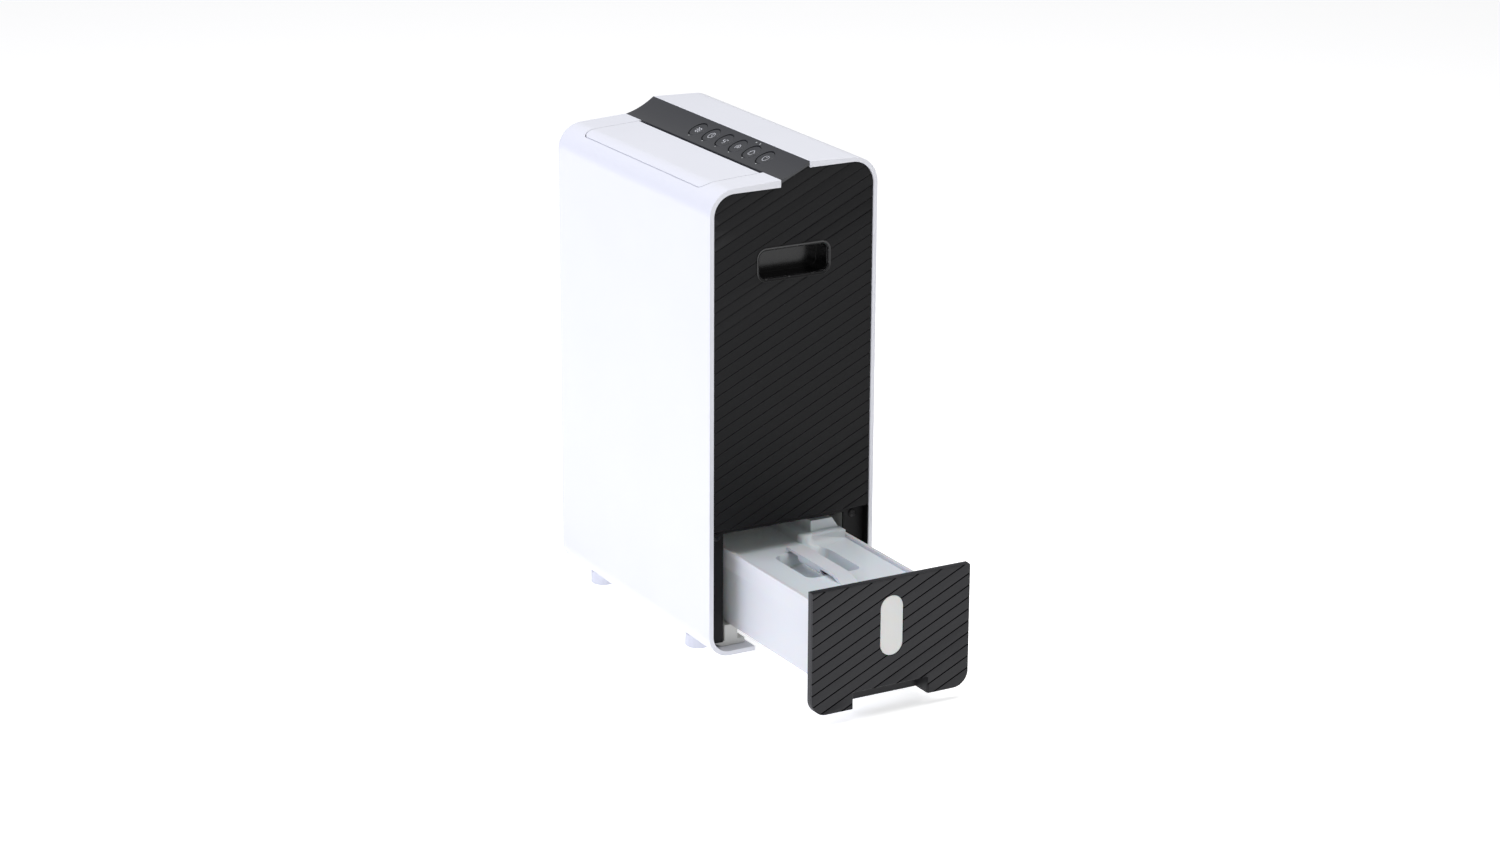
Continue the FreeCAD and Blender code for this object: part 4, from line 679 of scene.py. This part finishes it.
def repeater():
    # instances of a part, each stepped and turned from the last, made real with one finish
    tree = bpy.data.node_groups.new("repeatParts", "GeometryNodeTree")
    tree.is_modifier = True
    for name, kind in (("Part", "NodeSocketObject"), ("Count", "NodeSocketInt"),
                       ("Start", "NodeSocketVector"),
                       ("Step", "NodeSocketVector"), ("Turn", "NodeSocketVector"),
                       ("Play", "NodeSocketFloat"),
                       ("Seed", "NodeSocketInt"), ("Finish", "NodeSocketMaterial")):
        tree.interface.new_socket(name, in_out="INPUT", socket_type=kind)
    tree.interface.new_socket("Geometry", in_out="OUTPUT", socket_type="NodeSocketGeometry")
    given = addNode(tree, "NodeGroupInput")
    line = addNode(tree, "GeometryNodeMeshLine", None,
                   {"Count": (given, "Count"), "Start Location": (given, "Start"), "Offset": (given, "Step")})
    index = addNode(tree, "GeometryNodeInputIndex")
    turned = addNode(tree, "ShaderNodeVectorMath", {"operation": "SCALE"},
                     {0: (given, "Turn"), "Scale": (index, "Index")})
    loose = addNode(tree, "FunctionNodeRandomValue", {"data_type": "FLOAT"},
                    {3: (given, "Play"), "Seed": (given, "Seed")})
    shifted = addNode(tree, "ShaderNodeCombineXYZ", None, {"X": (loose, 1)})
    spun = addNode(tree, "ShaderNodeVectorMath", {"operation": "ADD"},
                   {0: (turned, "Vector"), 1: (shifted, "Vector")})
    part = addNode(tree, "GeometryNodeObjectInfo", None, {"Object": (given, "Part")})
    placed = addNode(tree, "GeometryNodeInstanceOnPoints", None,
                     {"Points": (line, "Mesh"), "Instance": (part, "Geometry"), "Rotation": (spun, "Vector")})
    solid = addNode(tree, "GeometryNodeRealizeInstances", None, {"Geometry": (placed, "Instances")})
    finished = addNode(tree, "GeometryNodeSetMaterial", None,
                       {"Geometry": (solid, "Geometry"), "Material": (given, "Finish")})
    addNode(tree, "NodeGroupOutput", None, {"Geometry": (finished, "Geometry")})
    return tree


repeatParts = repeater()


def repeated(name, part, **values):
    holder = newPiece(name, [(0, 0, 0)], [], [])
    made = holder.modifiers.new("repeat", "NODES")
    made.node_group = repeatParts
    values.setdefault("Play", 0.0)
    values.setdefault("Seed", 7)
    sockets = {item.name: item.identifier for item in repeatParts.interface.items_tree
               if item.in_out == "INPUT"}
    for key, value in {"Part": part, **values}.items():
        made[sockets[key]] = value
    applied(holder)
    bpy.data.objects.remove(part)
    return holder


def blockPiece(name, half):
    return prism(name, rectangle(-half[0], -half[1], half[0], half[1]), -half[2], half[2], "z",
                 ["finAluminium"])


# coil blocks: a stack of thin fins along each block, each turned a hair from the last
fins = {"pitch": 2.6 * mm, "thick": 0.25 * mm, "end": 4 * mm, "short": 3 * mm, "sunk": 0.05 * mm}
for node in ("evaporator", "condenser"):
    low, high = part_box(node)
    size, middle = (high - low) / 2, (high + low) / 2
    count = int((high.x - low.x - 2 * fins["end"]) / fins["pitch"])
    fin = blockPiece("fin", (fins["thick"] / 2, size.y - fins["sunk"], size.z - fins["short"]))
    stack = repeated(node + "Fins", fin, Count=count, Start=(low.x + fins["end"], middle.y, middle.z),
                     Step=(fins["pitch"], 0, 0), Play=0.004, Finish=finishes["finAluminium"])
    settle(stack, "cabinet", "coil_aluminium")

# screw heads with a cross recess, in place of the plain discs of the frame screws
screws = {"radius": 4.4 * mm, "high": 2.1 * mm, "slot": 0.55 * mm, "reach": 2.6 * mm}
low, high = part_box("frame_screws")
profile = [(0, screws["high"])] + [(screws["radius"] * math.sin(math.radians(a)),
                                   screws["high"] * (0.45 + 0.55 * math.cos(math.radians(a))))
                                  for a in (20, 40, 60, 80, 90)] + [(screws["radius"], 0), (0, 0)]
verts, faces = [], []
sides = 24
turns = [2 * math.pi * k / sides for k in range(sides)]
for r, h in profile[1:-1]:
    verts += [(h, r * math.cos(t), r * math.sin(t)) for t in turns]
for a in range(len(profile) - 3):
    faces += [(a * sides + k, (a + 1) * sides + k, (a + 1) * sides + (k + 1) % sides,
               a * sides + (k + 1) % sides)
              for k in range(sides)]
faces += [tuple(range(sides)), tuple(reversed(range(len(verts) - sides, len(verts))))]
head = newPiece("screwHead", verts, faces, ["blackScrew"])
outward(head.data)
for a, b in ((screws["reach"], screws["slot"]), (screws["slot"], screws["reach"])):
    carved(head, prism("crossCut", rectangle(-a, -b, a, b),
                       screws["high"] * 0.4, screws["high"] * 2, "x", ["blackRubber"]))
screwSpan = high.y - low.y - 2 * 4.6 * mm
frameScrews = repeated("frameScrews", head, Count=2, Start=(low.x, low.y + 4.6 * mm, (low.z + high.z) / 2),
                       Step=(0, screwSpan, 0), Finish=finishes["blackScrew"])
settle(frameScrews, "cabinet", "screw_black", "frame_screws")
print("fins and screws made")

# floor, light and camera
floorMesh = bpy.data.meshes.new("studioFloor")
floorMesh.from_pydata([(-6, -6, 0), (6, -6, 0), (6, 6, 0), (-6, 6, 0)], [], [(0, 1, 2, 3)])
studioFloor = bpy.data.objects.new("studioFloor", floorMesh)
bpy.context.collection.objects.link(studioFloor)
studioFloor.location.z = -0.0005
floorMesh.materials.append(mouldedPlastic("floorPaint", "FFFFFF", 0.7, 4 * mm, 0.00001, tint=0.01,
                                          **{"Emission Color": (1, 1, 1, 1), "Emission Strength": 0.55}))

world = bpy.data.worlds.new("studioAir")
bpy.context.scene.world = world
world.use_nodes = True
world.node_tree.nodes["Background"].inputs["Color"].default_value = linear("FFFFFF")
world.node_tree.nodes["Background"].inputs["Strength"].default_value = 0.32

lamps = {  # name: place, aim, size, watts, colour
    "frontBox": ((-0.6, -2.6, 1.6), (0, 0, 0.3), 1.8, 44, "E6E9FF"),
    "topBox": ((0.2, 0.3, 2.6), (0, 0, 0.3), 1.6, 40, "FFFFFF"),
    "tankBox": ((2.6, -0.2, 1.2), (0.1, 0, 0.2), 1.2, 3, "FFFFFF"),
}
for name, (place, aim, size, watts, colour) in lamps.items():
    light = bpy.data.lights.new(name, "AREA")
    light.size = size
    light.energy = watts
    light.color = linear(colour)[:3]
    lamp = bpy.data.objects.new(name, light)
    lamp.location = place
    lamp.rotation_euler = (Vector(aim) - Vector(place)).to_track_quat("-Z", "Y").to_euler()
    bpy.context.collection.objects.link(lamp)

view = {"azimuth": 60.496, "elevation": 17.818, "roll": 0.272, "lens": 87.46,
        "place": (3220.7 * mm, -1834.4 * mm, 1426.9 * mm)}
azimuth, elevation, roll = (math.radians(view[name]) for name in ("azimuth", "elevation", "roll"))
ahead = Vector((-math.sin(azimuth) * math.cos(elevation), math.cos(azimuth) * math.cos(elevation),
                -math.sin(elevation)))
across = ahead.cross(Vector((0, 0, 1))).normalized()
upward = across.cross(ahead)
rolledAcross = across * math.cos(roll) + upward * math.sin(roll)
rolledUp = upward * math.cos(roll) - across * math.sin(roll)
camera = bpy.data.objects.new("camera", bpy.data.cameras.new("camera"))
camera.data.lens = view["lens"]
camera.data.sensor_width = 36.0
turn = Matrix((rolledAcross, rolledUp, -ahead)).transposed().to_4x4()
camera.matrix_world = Matrix.Translation(view["place"]) @ turn
bpy.context.collection.objects.link(camera)
bpy.context.scene.camera = camera
bpy.context.scene.view_settings.view_transform = "Standard"
